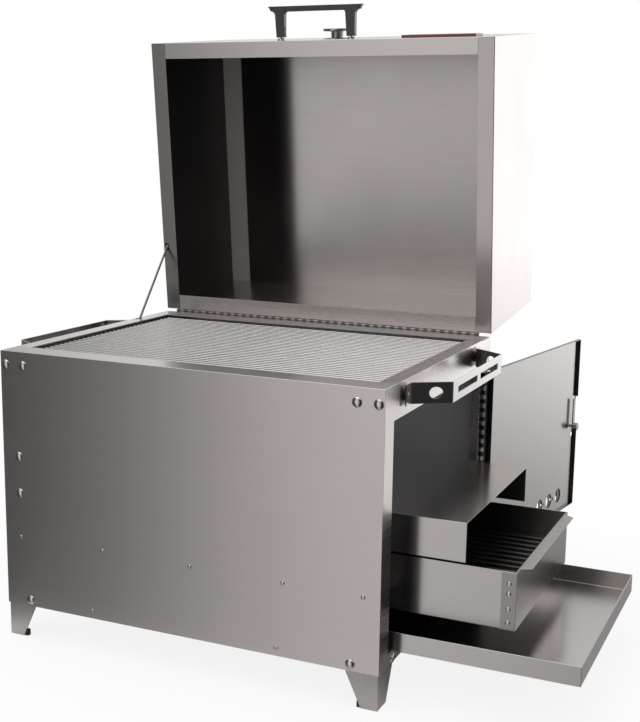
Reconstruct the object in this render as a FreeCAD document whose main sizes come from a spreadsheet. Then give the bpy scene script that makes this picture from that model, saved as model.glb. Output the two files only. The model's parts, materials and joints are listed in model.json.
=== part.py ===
import FreeCAD
import Part
import Sketcher
import math
import os

# A free-standing charcoal grill. Millimetres, +Z up, +X towards the door side, +Y towards the lid hinge.
# The pieces are drawn about the middle of the body, on the ground. Each finished piece is then moved so
# that the origin is the middle of the sole of the front left foot.

SIZES = {
    # body
    "body_wide": 640.0,
    "body_deep": 500.0,
    "rim_height": 466.0,
    "panel_bottom": 54.0,
    "panel_sheet": 1.5,
    "rim_long_flange": 43.0,
    "rim_side_flange": 26.0,
    "corner_tab": 17.5,
    "tab_over_leg": 1.0,
    "seam_gap": 0.3,
    # how far a drill or a cutter goes past the sheet it cuts
    "cut_past": 2.0,
    # side opening for the drawers
    "door_open_front": 214.0,
    "door_open_rear": 199.0,
    "door_open_low": 72.0,
    "door_open_drop": 51.0,
    "door_return": 15.0,
    "catch_play": 2.0,
    # legs
    "leg_sheet": 1.5,
    "leg_front_wide": 50.0,
    "leg_front_toe": 25.5,
    "leg_side_wide": 58.0,
    "leg_side_toe": 33.5,
    "leg_top": 70.0,
    "knee_drop": 2.0,
    "foot_height": 10.0,
    "foot_thick": 7.0,
    "foot_overhang": 7.0,
    # bolts
    "bolt_shank": 3.1,
    "bolt_head": 7.5,
    "bolt_dome": 3.0,
    "bolt_tail": 2.0,
    "nut_across": 5.6,
    "nut_thick": 5.0,
    "hole_play": 0.1,
    "top_bolt_drop": 21.5,
    "corner_bolt_in": 9.0,
    "leg_bolt_in": 44.0,
    "leg_bolt_up": 10.0,
    "leg_side_bolt_in": 53.0,
    "leg_side_bolt_up": 7.0,
    # rivets
    "rivet_shank": 1.9,
    "rivet_head": 3.6,
    "rivet_rise": 1.2,
    "rivet_left_in": 28.0,
    "rivet_pitch": 153.7,
    "rivet_right_in": 26.0,
    "ash_rivet_in": 161.0,
    # grate and its rails
    "grate_rod": 3.0,
    "grate_pitch": 13.0,
    "grate_rods": 32.0,
    "grate_bar": 4.0,
    "grate_bar_in": 75.0,
    "bar_sink": 0.5,
    "grate_drop": 4.5,
    "grate_end_gap": 3.0,
    "grate_end_play": 1.0,
    "rail_sheet": 1.5,
    "grate_rail_in": 53.0,
    "grate_rail_deep": 24.0,
    "grate_rail_bolt_in": 41.0,
    "seat_gap": 0.3,
    # drawers in the body
    "drawer_centre": -8.0,
    "drawer_sheet": 1.2,
    "run_gap": 0.5,
    "slide_gap": 0.3,
    "firebox_wide": 312.0,
    "firebox_low": 120.5,
    "firebox_high": 206.0,
    "firebox_long": 600.0,
    "firebox_out": 490.0,
    "firebox_lip": 14.5,
    "firebox_corner": 22.0,
    "lip_root": 16.0,
    "lip_tip": 24.0,
    "strip_rivet_top": 17.5,
    "strip_rivet_second": 32.0,
    "strip_rivet_third": 30.5,
    "strip_rivet_low": 10.5,
    "coal_rod": 3.0,
    "coal_rods": 15.0,
    "coal_height": 34.0,
    "coal_play": 2.0,
    "coal_bar_in": 30.0,
    "coal_bar_half": 3.0,
    "deflector_wide": 327.0,
    "deflector_gap": 6.0,
    "deflector_high": 270.0,
    "deflector_out": 417.0,
    "deflector_long": 600.0,
    "ash_wide": 391.0,
    "ash_low": 74.5,
    "ash_high": 103.5,
    "ash_long": 600.0,
    "ash_out": 593.0,
    # rails of the drawers, by heights over the drawer they carry
    "rail_end_in": 20.0,
    "firebox_shelf_up": 29.5,
    "firebox_rivet_up": 46.5,
    "firebox_tab_up": 59.5,
    "ash_rail_end_in": 58.0,
    "ash_shelf_up": 7.5,
    "ash_rivet_down": 8.5,
    "ash_tab_down": 18.5,
    "ledge": 9.0,
    "ledge_past": 3.0,
    # inner stops of the drawers
    "stop_bolt_in": 29.0,
    "stop_bolt_over": 29.0,
    "stop_bolt_under": 30.5,
    "stop_edge": 12.0,
    "stop_half": 9.0,
    "stop_arm_high": 34.0,
    "stop_overlap": 15.0,
    # lid
    "lid_overhang": 1.5,
    "lid_sheet": 1.2,
    "lid_long": 493.0,
    "lid_depth": 268.0,
    "lid_side_flange": 28.0,
    "lid_end_flange": 27.5,
    "lid_open": 84.3,
    "lid_axis_back": 2.5,
    "lid_axis_up": 2.0,
    "lid_knuckle": 2.4,
    "lid_edge": 2.75,
    "lid_pin": 1.2,
    "pin_play": 0.05,
    "lid_hinge_in": 20.0,
    "lid_knuckles": 77.0,
    "lid_leaf_high": 14.0,
    "leaf_sheet": 1.1,
    "knuckle_clear": 0.6,
    # lid stay
    "stay_in": 6.0,
    "stay_pivot_ahead": 119.0,
    "stay_pivot_down": 14.0,
    "stay_rod": 2.0,
    "stay_past": 6.0,
    "stay_tail": 3.0,
    "stay_head": 3.5,
    "stay_head_thick": 1.2,
    "stay_hook": 10.0,
    "stay_slot_wide": 7.0,
    "stay_slot_long": 14.0,
    "rim_slot_front": 4.0,
    "rim_slot_rear": 15.0,
    # lid handle
    "grip_long": 176.0,
    "grip_thick": 11.0,
    "grip_height": 58.0,
    "post_spacing": 132.0,
    "post_top": 10.0,
    "post_foot": 8.0,
    "ferrule_wide": 7.5,
    "ferrule_high": 3.0,
    "handle_up": 15.0,
    "screw_long": 20.0,
    "screw_play": 0.4,
    "screw_head_high": 2.5,
    # thermometer
    "gauge_up": 108.0,
    "gauge_wide": 25.0,
    "gauge_thick": 5.0,
    "gauge_rim": 2.0,
    "gauge_recess": 3.0,
    "gauge_stand": 13.0,
    "gauge_neck": 11.0,
    "gauge_flange": 25.0,
    "gauge_flange_thick": 1.5,
    "dial_thick": 0.5,
    "pointer_deep": 1.6,
    "pointer_hub": 2.2,
    "pointer_hub_high": 0.8,
    "pointer_half": 0.8,
    "pointer_thick": 0.5,
    "pointer_short": 7.0,
    "lens_thick": 1.4,
    "probe_thread": 3.9,
    "probe_in": 9.9,
    "probe_out": 7.1,
    "probe_hole_play": 0.6,
    "probe_nut": 8.0,
    "probe_nut_thick": 5.0,
    "gauge_stem": 2.5,
    "gauge_stem_long": 18.9,
    # bare plate
    "plate_left": 154.0,
    "plate_long": 130.0,
    "plate_low": 20.0,
    "plate_high": 40.0,
    "plate_thick": 5.0,
    # door
    "door_gap": 3.0,
    "door_sheet": 1.0,
    "door_flange": 6.5,
    "door_open": 171.1,
    "door_axis_out": 3.0,
    "door_axis_back": 15.0,
    "door_knuckle": 2.6,
    "door_pin": 1.2,
    "door_hinge_up": 5.0,
    "door_hinge_down": 2.0,
    "door_knuckles": 43.0,
    "door_leaf_wide": 24.0,
    # vents of the door
    "vent_hole": 14.0,
    "vent_pitch": 46.0,
    "vent_up": 32.0,
    "vent_from_edge": 70.0,
    "slider_high": 40.0,
    "slider_sheet": 1.2,
    "slider_shift": 14.0,
    "slider_end": 30.0,
    "slider_tab_in": 6.0,
    "slider_tab_out": 11.0,
    "slider_tab_half": 10.0,
    # latch of the door
    "latch_up": 165.0,
    "latch_in": 21.0,
    "latch_long": 55.0,
    "latch_wide": 9.0,
    "latch_sheet": 2.0,
    "latch_stand": 5.8,
    "latch_spindle": 3.0,
    "spindle_out": 8.0,
    "latch_knob": 11.0,
    "latch_knob_taper": 2.0,
    "latch_knob_high": 14.0,
    "latch_nut": 7.2,
    "latch_nut_thick": 9.0,
    "notch_deep": 4.0,
    "notch_down": 6.5,
    "notch_up": 57.0,
    "lock_hole": 5.0,
    "lock_hole_in": 13.0,
    "lock_hole_down": 19.0,
    # side handles
    "side_grip_out": 56.0,
    "side_grip_half": 125.0,
    "side_root_half": 158.0,
    "side_high": 31.0,
    "side_drop": 37.0,
    "side_sheet": 2.0,
    "side_lug": 22.0,
    "side_rivet_out": 13.0,
    "side_spacer": 3.0,
    "spacer_wide": 9.0,
    "side_slot_near": 8.0,
    "side_slot_far": 103.0,
    "side_slot_high": 9.5,
    "side_arm_hole": 8.5,
}

# Shapes that are shares of another size
BOLT_CROWN = 0.62
RIVET_CROWN = 0.6
RIVET_TAIL = 0.8
ARM_MITRE = 0.6
ARM_HOLE_PLACE = 0.6

doc = FreeCAD.newDocument("charcoal_grill")
sheet = doc.addObject("Spreadsheet::Sheet", "Sizes")
for row, (word, number) in enumerate(SIZES.items(), start=1):
    sheet.set("A%d" % row, word)
    sheet.set("B%d" % row, str(number))
    sheet.setAlias("B%d" % row, word)
doc.recompute()


class Length:
    """A size with its number and the expression that binds it to the sheet."""

    def __init__(self, number, text):
        self.number = number
        self.text = text

    def __add__(self, other):
        other = length(other)
        return Length(self.number + other.number, "(%s + %s)" % (self.text, other.text))

    def __sub__(self, other):
        other = length(other)
        return Length(self.number - other.number, "(%s - %s)" % (self.text, other.text))

    def __mul__(self, other):
        other = length(other)
        return Length(self.number * other.number, "(%s * %s)" % (self.text, other.text))

    def __truediv__(self, other):
        other = length(other)
        return Length(self.number / other.number, "(%s / %s)" % (self.text, other.text))

    def __neg__(self):
        return Length(-self.number, "(-1 * %s)" % self.text)

    def __radd__(self, other):
        return length(other) + self

    def __rsub__(self, other):
        return length(other) - self

    def __rmul__(self, other):
        return length(other) * self


def length(item):
    if isinstance(item, Length):
        return item
    return Length(float(item), repr(float(item)))


class Named:
    """Every size of the sheet under its own name."""


s = Named()
for word, number in SIZES.items():
    setattr(s, word, Length(float(number), "Sizes.%s" % word))


def sine(angle):
    return Length(math.sin(math.radians(angle.number)), "sin(%s * 1deg)" % angle.text)


def cosine(angle):
    return Length(math.cos(math.radians(angle.number)), "cos(%s * 1deg)" % angle.text)


def root(item):
    return Length(math.sqrt(item.number), "sqrt(%s)" % item.text)


def in_order(a, b):
    """Two places, the lower one first."""
    return sorted((length(a), length(b)), key=lambda item: item.number)


names_used = {}


def new_name(stem):
    names_used[stem] = names_used.get(stem, 0) + 1
    return "%s_%d" % (stem, names_used[stem])


def bind(thing, prop, item):
    thing.setExpression(prop, length(item).text)


def set_down(thing, x, y, z):
    bind(thing, "Placement.Base.x", x)
    bind(thing, "Placement.Base.y", y)
    bind(thing, "Placement.Base.z", z)


def block(x0, x1, y0, y1, z0, z1):
    """A box between two places on each axis, in any order."""
    made = doc.addObject("Part::Box", new_name("block"))
    x0, x1 = in_order(x0, x1)
    y0, y1 = in_order(y0, y1)
    z0, z1 = in_order(z0, z1)
    bind(made, "Length", x1 - x0)
    bind(made, "Width", y1 - y0)
    bind(made, "Height", z1 - z0)
    set_down(made, x0, y0, z0)
    return made


TURNS = {
    "x": FreeCAD.Rotation(FreeCAD.Vector(0, 1, 0), 90),
    "-x": FreeCAD.Rotation(FreeCAD.Vector(0, 1, 0), -90),
    "y": FreeCAD.Rotation(FreeCAD.Vector(1, 0, 0), -90),
    "-y": FreeCAD.Rotation(FreeCAD.Vector(1, 0, 0), 90),
    "z": FreeCAD.Rotation(),
}


def outwards(axis, side):
    """The way out of the body along an axis, on its low (-1) or high (1) side."""
    return axis if side > 0 else "-" + axis


def against(way):
    return way[1:] if way.startswith("-") else "-" + way


def along(x, y, way, far):
    """The point a distance further on from x, y along a level axis."""
    step = -far if way.startswith("-") else far
    return (x + step, y) if way.endswith("x") else (x, y + step)


def solid_along(kind, stem, x, y, z, way, sizes):
    """A basic solid that starts at a point and runs along one axis."""
    made = doc.addObject(kind, new_name(stem))
    made.Placement = FreeCAD.Placement(FreeCAD.Vector(), TURNS[way])
    for prop, item in sizes.items():
        bind(made, prop, item)
    set_down(made, x, y, z)
    return made


def rod(x, y, z, way, radius, long):
    return solid_along("Part::Cylinder", "rod", x, y, z, way, {"Radius": radius, "Height": long})


def cone(x, y, z, way, radius_near, radius_far, long):
    return solid_along("Part::Cone", "cone", x, y, z, way,
                       {"Radius1": radius_near, "Radius2": radius_far, "Height": long})


def nut(x, y, z, way, across, thick):
    made = solid_along("Part::Prism", "nut", x, y, z, way, {"Circumradius": across, "Height": thick})
    made.Polygon = 6
    return made


def ball(x, y, z, radius):
    made = doc.addObject("Part::Sphere", new_name("ball"))
    bind(made, "Radius", radius)
    set_down(made, x, y, z)
    return made


def fuse(parts):
    if len(parts) == 1:
        return parts[0]
    made = doc.addObject("Part::MultiFuse", new_name("joined"))
    made.Shapes = parts
    return made


def cut(base, tools):
    made = doc.addObject("Part::Cut", new_name("cut"))
    made.Base = base
    made.Tool = fuse(tools)
    return made


def group(parts):
    made = doc.addObject("Part::Compound", new_name("group"))
    made.Links = parts
    return made


SKETCH_PLANES = {"xy": ("XY_Plane", 1.0), "xz": ("XZ_Plane", -1.0), "yz": ("YZ_Plane", 1.0)}


def drawn(plane, points, near, far):
    """A closed outline of straight lines on a plane, padded between two places on the third axis."""
    body = doc.addObject("PartDesign::Body", new_name("sheet_body"))
    sketch = body.newObject("Sketcher::SketchObject", new_name("outline"))
    role, way = SKETCH_PLANES[plane]
    origin_plane = [item for item in body.Origin.OriginFeatures if item.Role == role][0]
    sketch.AttachmentSupport = [(origin_plane, "")]
    sketch.MapMode = "FlatFace"
    low, high = in_order(near, far)
    start = low if way > 0 else -high
    sketch.setExpression("AttachmentOffset.Base.z", start.text)
    points = [(length(a), length(b)) for a, b in points]
    total = len(points)
    lines = []
    for index in range(total):
        here, there = points[index], points[(index + 1) % total]
        lines.append(Part.LineSegment(FreeCAD.Vector(here[0].number, here[1].number, 0),
                                      FreeCAD.Vector(there[0].number, there[1].number, 0)))
    sketch.addGeometry(lines, False)
    for index in range(total):
        sketch.addConstraint(Sketcher.Constraint("Coincident", index, 2, (index + 1) % total, 1))
    for index, (a, b) in enumerate(points):
        for kind, item in (("DistanceX", a), ("DistanceY", b)):
            place = sketch.addConstraint(Sketcher.Constraint(kind, -1, 1, index, 1, item.number))
            sketch.setExpression("Constraints[%d]" % place, item.text)
    pad = body.newObject("PartDesign::Pad", new_name("pad"))
    pad.Profile = sketch
    bind(pad, "Length", high - low)
    return body


def turned(thing, axis, angle, x, y, z):
    """Turns a finished piece about a line through a point, along one axis."""
    if thing.TypeId in ("Part::Box", "Part::Cylinder"):
        thing = group([thing])
    angle = length(angle)
    x, y, z = length(x), length(y), length(z)
    c, n = cosine(angle), sine(angle)
    vector = {"x": (1, 0, 0), "y": (0, 1, 0), "z": (0, 0, 1)}[axis]
    thing.Placement = FreeCAD.Placement(FreeCAD.Vector(), FreeCAD.Rotation(FreeCAD.Vector(*vector), 1))
    thing.setExpression("Placement.Rotation.Angle", angle.text)
    if axis == "x":
        set_down(thing, 0, y - (y * c - z * n), z - (y * n + z * c))
    elif axis == "y":
        set_down(thing, x - (x * c + z * n), 0, z - (z * c - x * n))
    else:
        set_down(thing, x - (x * c - y * n), y - (x * n + y * c), 0)
    return thing


NODES = {}


def node(label, thing):
    """A finished sub-part: the piece, moved from the middle of the body to the origin at the foot."""
    placed = doc.addObject("Part::Compound", "sub_part_" + label)
    placed.Links = [thing]
    set_down(placed, origin_x, origin_y, 0)
    placed.Label = label
    NODES[label] = placed
    return placed


# Places that many pieces share
half_wide = s.body_wide / 2
half_deep = s.body_deep / 2
inner_x = half_wide - s.panel_sheet
inner_y = half_deep - s.panel_sheet
rim_under = s.rim_height - s.panel_sheet
top_bolt_z = s.rim_height - s.top_bolt_drop
tab_y = inner_y - s.panel_sheet
corner_bolt_x = half_wide - s.corner_bolt_in
rail_bolt_x = half_wide - s.grate_rail_bolt_in
leg_bolt_x = half_wide - s.leg_bolt_in
leg_bolt_z = s.panel_bottom + s.leg_bolt_up
side_bolt_y = half_deep - s.leg_side_bolt_in
side_bolt_z = s.panel_bottom + s.leg_side_bolt_up
bolt_hole = s.bolt_shank + s.hole_play
rivet_hole = s.rivet_shank + s.hole_play
foot_inner_x = inner_x - s.leg_sheet
foot_inner_y = inner_y - s.leg_sheet
foot_far_x = inner_x - s.leg_front_toe - s.foot_overhang
origin_x = (foot_inner_x + foot_far_x) / 2
origin_y = foot_inner_y - s.foot_thick / 2
lid_axis_y = half_deep + s.lid_axis_back
lid_axis_z = s.rim_height + s.lid_axis_up

# Drawer levels and their rails
firebox_front = s.drawer_centre - s.firebox_wide / 2
firebox_rear = s.drawer_centre + s.firebox_wide / 2
ash_front = s.drawer_centre - s.ash_wide / 2
ash_rear = s.drawer_centre + s.ash_wide / 2
deflector_front = s.drawer_centre - s.deflector_wide / 2
deflector_rear = s.drawer_centre + s.deflector_wide / 2
deflector_low = s.firebox_high + s.deflector_gap
firebox_room = s.drawer_sheet + s.rivet_rise + s.run_gap
firebox_ledge = s.firebox_low - s.slide_gap
ash_ledge = s.ash_low - s.slide_gap
rivet_z = s.firebox_low + s.firebox_rivet_up
rivet_xs = [s.rivet_pitch * index - (half_wide - s.rivet_left_in) for index in range(4)]
rivet_xs.append(half_wide - s.rivet_right_in)
ash_rivet_z = s.ash_low - s.ash_rivet_down
ash_rivet_xs = [side * (half_wide - s.ash_rivet_in) for side in (-1, 1)]
stop_bolt_x = -(half_wide - s.stop_bolt_in)
stop_bolt_z = (s.deflector_high + s.stop_bolt_over, s.deflector_high - s.stop_bolt_under)


def wall_bolts():
    """Places of the bolts through the front and rear panels: x, z and the thickness they hold."""
    places = []
    for side in (-1, 1):
        places.append((side * corner_bolt_x, top_bolt_z, s.panel_sheet * 2))
        places.append((side * rail_bolt_x, top_bolt_z, s.panel_sheet + s.rail_sheet))
        places.append((side * leg_bolt_x, leg_bolt_z, s.panel_sheet + s.leg_sheet))
    for z in stop_bolt_z:
        places.append((stop_bolt_x, z, s.panel_sheet + s.rail_sheet))
    return places


def wall_drill(axis, side, across, z, radius, deep):
    """The drill for a hole in a body wall and what lies behind it. axis is the wall's normal."""
    wall = half_wide if axis == "x" else half_deep
    start = side * (wall + s.cut_past)
    x, y = (start, across) if axis == "x" else (across, start)
    return rod(x, y, z, against(outwards(axis, side)), radius, deep + s.cut_past * 2)


# Body panels
def long_panel(side):
    """Front panel for -1 and rear panel for 1: a wall with the rim flange bent inwards."""
    out, inn, lip = side * half_deep, side * inner_y, side * (half_deep - s.rim_long_flange)
    body = drawn("yz", [(out, s.panel_bottom), (out, s.rim_height), (lip, s.rim_height),
                        (lip, rim_under), (inn, rim_under), (inn, s.panel_bottom)],
                 -half_wide, half_wide)
    holes = [wall_drill("y", side, x, z, bolt_hole, s.panel_sheet) for x, z, _ in wall_bolts()]
    holes += [wall_drill("y", side, x, rivet_z, rivet_hole, s.panel_sheet) for x in rivet_xs]
    holes += [wall_drill("y", side, x, ash_rivet_z, rivet_hole, s.panel_sheet) for x in ash_rivet_xs]
    return cut(body, holes)


node("front_panel", long_panel(-1))
node("rear_panel", long_panel(1))


def side_wall(side):
    """The wall and rim flange of one end, with a tab behind the front and the rear panel."""
    out, inn = side * half_wide, side * inner_x
    lip = side * (half_wide - s.rim_side_flange)
    tab = side * (inner_x - s.corner_tab)
    tab_low = s.leg_top + s.tab_over_leg
    tab_high = rim_under - s.seam_gap
    reach = half_deep - s.rim_long_flange - s.seam_gap
    return fuse([
        block(out, inn, -inner_y, inner_y, s.panel_bottom, rim_under),
        block(out, lip, -reach, reach, rim_under, s.rim_height),
        block(inn, tab, -inner_y, -tab_y, tab_low, tab_high),
        block(inn, tab, tab_y, inner_y, tab_low, tab_high),
    ])


handle_mid = s.rim_height - s.side_drop + s.side_high / 2
handle_rivet_y = s.side_root_half + s.side_rivet_out


def side_holes(side):
    """Drills for the corner bolts, the leg bolts and the handle rivets of one end."""
    holes = []
    for end in (-1, 1):
        holes.append(wall_drill("y", end, side * corner_bolt_x, top_bolt_z, bolt_hole, s.panel_sheet * 2))
        holes.append(wall_drill("x", side, end * side_bolt_y, side_bolt_z, bolt_hole, s.panel_sheet))
        holes.append(wall_drill("x", side, end * handle_rivet_y, handle_mid, rivet_hole, s.panel_sheet))
    return holes


stay_pivot_y = half_deep - s.stay_pivot_ahead
stay_pivot_z = s.rim_height - s.stay_pivot_down
stay_x = -(half_wide - s.stay_in)
pivot_back = lid_axis_y - stay_pivot_y
pivot_up = lid_axis_z - stay_pivot_z
stay_arm = root(pivot_back * pivot_back + pivot_up * pivot_up)

rim_slot = block(stay_x - s.stay_slot_wide / 2, stay_x + s.stay_slot_wide / 2,
                 stay_pivot_y - s.rim_slot_front, stay_pivot_y + s.rim_slot_rear,
                 rim_under - s.cut_past, s.rim_height + s.cut_past)
stay_hole = wall_drill("x", -1, stay_pivot_y, stay_pivot_z, s.stay_rod + s.pin_play, s.panel_sheet)
node("left_side_panel", cut(side_wall(-1), side_holes(-1) + [rim_slot, stay_hole]))

door_open_high = s.rim_height - s.door_open_drop
door_cut = block(half_wide - s.door_return - s.cut_past, half_wide + s.cut_past, -s.door_open_front,
                 s.door_open_rear, s.door_open_low, door_open_high)
door_frame = block(half_wide - s.door_return, half_wide, -s.door_open_front - s.panel_sheet,
                   s.door_open_rear + s.panel_sheet, s.door_open_low - s.panel_sheet,
                   door_open_high + s.panel_sheet)
catch_z = s.door_open_low + s.door_gap + s.latch_up
catch_slot = block(half_wide - s.door_return - s.cut_past, half_wide - s.latch_stand + s.catch_play,
                   -s.door_open_front - s.panel_sheet - s.cut_past, -s.door_open_front + s.cut_past,
                   catch_z - s.latch_wide, catch_z + s.latch_long)
node("right_side_frame", cut(fuse([side_wall(1), door_frame]), side_holes(1) + [door_cut, catch_slot]))


# Legs and feet
def leg(side, end):
    """One corner leg: two tapered faces bent from a sheet. side is the x sign, end the y sign."""
    x_out, y_out = side * inner_x, end * inner_y
    x_in, y_in = side * foot_inner_x, end * foot_inner_y
    knee = s.panel_bottom - s.knee_drop
    front = drawn("xz", [(x_out, 0), (x_out, s.leg_top), (x_out - side * s.leg_front_wide, s.leg_top),
                         (x_out - side * s.leg_front_wide, knee), (x_out - side * s.leg_front_toe, 0)],
                  y_out, y_in)
    flank = drawn("yz", [(y_out, 0), (y_out, s.leg_top), (y_out - end * s.leg_side_wide, s.leg_top),
                         (y_out - end * s.leg_side_wide, knee), (y_out - end * s.leg_side_toe, 0)],
                  x_out, x_in)
    deep = s.panel_sheet + s.leg_sheet
    holes = [
        wall_drill("y", end, side * leg_bolt_x, leg_bolt_z, bolt_hole, deep),
        wall_drill("x", side, end * side_bolt_y, side_bolt_z, bolt_hole, deep),
    ]
    return cut(fuse([front, flank]), holes)


CORNERS = {"front_left": (-1, -1), "front_right": (1, -1), "rear_left": (-1, 1), "rear_right": (1, 1)}
for corner, (side, end) in CORNERS.items():
    node("leg_" + corner, leg(side, end))


def foot(side, end):
    """A rubber block in the bottom of a leg, showing past its front face."""
    return block(side * foot_inner_x, side * foot_far_x, end * foot_inner_y,
                 end * (foot_inner_y - s.foot_thick), 0, s.foot_height)


node("rubber_feet", group([foot(side, end) for side, end in CORNERS.values()]))


# Carriage bolts and nuts through the panels
def bolt(x, y, z, way, grip):
    """A round-headed bolt whose head sits on a wall at the point; way is where the head points."""
    head = cone(x, y, z, way, s.bolt_head, s.bolt_head * BOLT_CROWN, s.bolt_dome)
    shank = rod(x, y, z, against(way), s.bolt_shank, grip + s.nut_thick + s.bolt_tail)
    return fuse([head, shank])


def ring_nut(x, y, z, way):
    """A hexagon nut with its bore, starting at the point and running along way."""
    bore_x, bore_y = along(x, y, against(way), s.cut_past)
    bore = rod(bore_x, bore_y, z, way, bolt_hole, s.nut_thick + s.cut_past * 2)
    return cut(nut(x, y, z, way, s.nut_across, s.nut_thick), [bore])


bolts, nuts = [], []
leg_grip = s.panel_sheet + s.leg_sheet
for end in (-1, 1):
    way = outwards("y", end)
    for x, z, grip in wall_bolts():
        bolts.append(bolt(x, end * half_deep, z, way, grip))
        nuts.append(ring_nut(x, end * (half_deep - grip), z, against(way)))
    for side in (-1, 1):
        way = outwards("x", side)
        bolts.append(bolt(side * half_wide, end * side_bolt_y, side_bolt_z, way, leg_grip))
        nuts.append(ring_nut(side * (half_wide - leg_grip), end * side_bolt_y, side_bolt_z, against(way)))
node("carriage_bolts", group(bolts))
node("hex_nuts", group(nuts))


# Grate rails and cooking grate
grate_top = s.rim_height - s.grate_drop
rail_top = grate_top - s.grate_rod * 2 - s.seat_gap


def grate_rail(side):
    """An angle along one end that carries the cooking grate, with a tab at each end for its bolt."""
    outer = side * (half_wide - s.rim_side_flange - s.grate_end_gap)
    web = side * (half_wide - s.grate_rail_in)
    thin = s.rail_sheet
    low = rail_top - s.grate_rail_deep
    pieces = [
        block(outer, web, -inner_y, inner_y, rail_top - thin, rail_top),
        block(web, web + side * thin, -inner_y, inner_y, low, rail_top),
        block(outer, web, -inner_y, -inner_y + thin, low, rail_top),
        block(outer, web, inner_y - thin, inner_y, low, rail_top),
    ]
    holes = [wall_drill("y", end, side * rail_bolt_x, top_bolt_z, bolt_hole, s.panel_sheet + thin)
             for end in (-1, 1)]
    return cut(fuse(pieces), holes)


node("left_grate_rail", grate_rail(-1))
node("right_grate_rail", grate_rail(1))

grate_half = half_wide - s.rim_side_flange - s.grate_end_gap - s.grate_end_play
rod_z = grate_top - s.grate_rod
rods = []
for index in range(int(s.grate_rods.number)):
    y = s.grate_pitch * (index - (s.grate_rods.number - 1) / 2)
    rods.append(rod(-grate_half, y, rod_z, "x", s.grate_rod, grate_half * 2))
bar_z = rod_z - s.grate_rod - s.grate_bar + s.bar_sink
bar_half = s.grate_pitch * ((s.grate_rods.number - 1) / 2) + s.grate_rod
for side in (-1, 0, 1):
    rods.append(rod(side * (half_wide - s.grate_bar_in), -bar_half, bar_z, "y", s.grate_bar, bar_half * 2))
node("cooking_grate", fuse(rods))


# Rails for the firebox and the ash pan
def firebox_rail(end):
    """A bent rail riveted to a long wall: shelf, web beside the firebox, ledges above and below."""
    wall = end * inner_y
    room = s.firebox_wide / 2 + firebox_room
    side_face = s.drawer_centre + end * room
    thin = s.rail_sheet
    back = side_face + end * thin
    under = side_face - end * s.ledge
    top = deflector_low - s.slide_gap
    ledge_out = s.drawer_centre + end * (s.deflector_wide / 2 + s.ledge_past)
    shelf = s.firebox_low + s.firebox_shelf_up
    tab = s.firebox_low + s.firebox_tab_up
    points = [
        (wall, tab), (wall, shelf), (back, shelf), (back, firebox_ledge - thin),
        (under, firebox_ledge - thin), (under, firebox_ledge), (side_face, firebox_ledge),
        (side_face, top), (ledge_out, top), (ledge_out, top - thin), (back, top - thin),
        (back, shelf + thin), (wall - end * thin, shelf + thin), (wall - end * thin, tab),
    ]
    rail_end = half_wide - s.rail_end_in
    body = drawn("yz", points, -rail_end, rail_end)
    deep = s.panel_sheet + thin
    return cut(body, [wall_drill("y", end, x, rivet_z, rivet_hole, deep) for x in rivet_xs])


node("front_firebox_rail", firebox_rail(-1))
node("rear_firebox_rail", firebox_rail(1))


def ash_rail(end):
    """The lower rail, with a ledge under the ash pan."""
    wall = end * inner_y
    side_face = s.drawer_centre + end * (s.ash_wide / 2 + s.run_gap)
    thin = s.rail_sheet
    back = side_face + end * thin
    under = side_face - end * s.ledge
    shelf = s.ash_low + s.ash_shelf_up
    tab = s.ash_low - s.ash_tab_down
    points = [
        (wall, tab), (wall, shelf), (side_face, shelf), (side_face, ash_ledge),
        (under, ash_ledge), (under, ash_ledge - thin), (back, ash_ledge - thin),
        (back, shelf - thin), (wall - end * thin, shelf - thin), (wall - end * thin, tab),
    ]
    rail_end = half_wide - s.ash_rail_end_in
    body = drawn("yz", points, -rail_end, rail_end)
    deep = s.panel_sheet + thin
    return cut(body, [wall_drill("y", end, x, ash_rivet_z, rivet_hole, deep) for x in ash_rivet_xs])


node("front_ash_rail", ash_rail(-1))
node("rear_ash_rail", ash_rail(1))


def rivet(x, y, z, way, grip):
    """A small rivet: a low head outside and a formed tail inside."""
    back = against(way)
    head = cone(x, y, z, way, s.rivet_head, s.rivet_head * RIVET_CROWN, s.rivet_rise)
    shank = rod(x, y, z, back, s.rivet_shank, grip + s.rivet_rise)
    tail_x, tail_y = along(x, y, back, grip)
    tail = rod(tail_x, tail_y, z, back, s.rivet_head * RIVET_TAIL, s.rivet_rise)
    return fuse([head, shank, tail])


rail_grip = s.panel_sheet + s.rail_sheet
rivets = []
for end in (-1, 1):
    way = outwards("y", end)
    rivets += [rivet(x, end * half_deep, rivet_z, way, rail_grip) for x in rivet_xs]
    rivets += [rivet(x, end * half_deep, ash_rivet_z, way, rail_grip) for x in ash_rivet_xs]
node("rail_rivets", group(rivets))


def drawer_stop(end):
    """A bracket on the two bolts near the left end, whose arm stops the deflector."""
    wall = end * inner_y
    thin = s.rail_sheet
    arm_tip = s.drawer_centre + end * (s.deflector_wide / 2 - s.stop_overlap)
    low, high = stop_bolt_z[1] - s.stop_edge, stop_bolt_z[0] + s.stop_edge
    left, right = stop_bolt_x - s.stop_half, stop_bolt_x + s.stop_half
    pieces = [
        block(left, right, wall, wall - end * thin, low, high),
        block(left, left + thin, wall, arm_tip, low, low + s.stop_arm_high),
    ]
    holes = [wall_drill("y", end, stop_bolt_x, z, bolt_hole, s.panel_sheet + thin) for z in stop_bolt_z]
    return cut(fuse(pieces), holes)


node("drawer_stops", group([drawer_stop(-1), drawer_stop(1)]))


# Firebox: pan, end panel with a lip, rivets and the charcoal grate
def tray(x0, x1, y0, y1, z0, z1, wall):
    """An open-topped tray of sheet."""
    outer = block(x0, x1, y0, y1, z0, z1)
    inner = block(x0 + wall, x1 - wall, y0 + wall, y1 - wall, z0 + wall, z1 + s.cut_past)
    return cut(outer, [inner])


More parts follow.
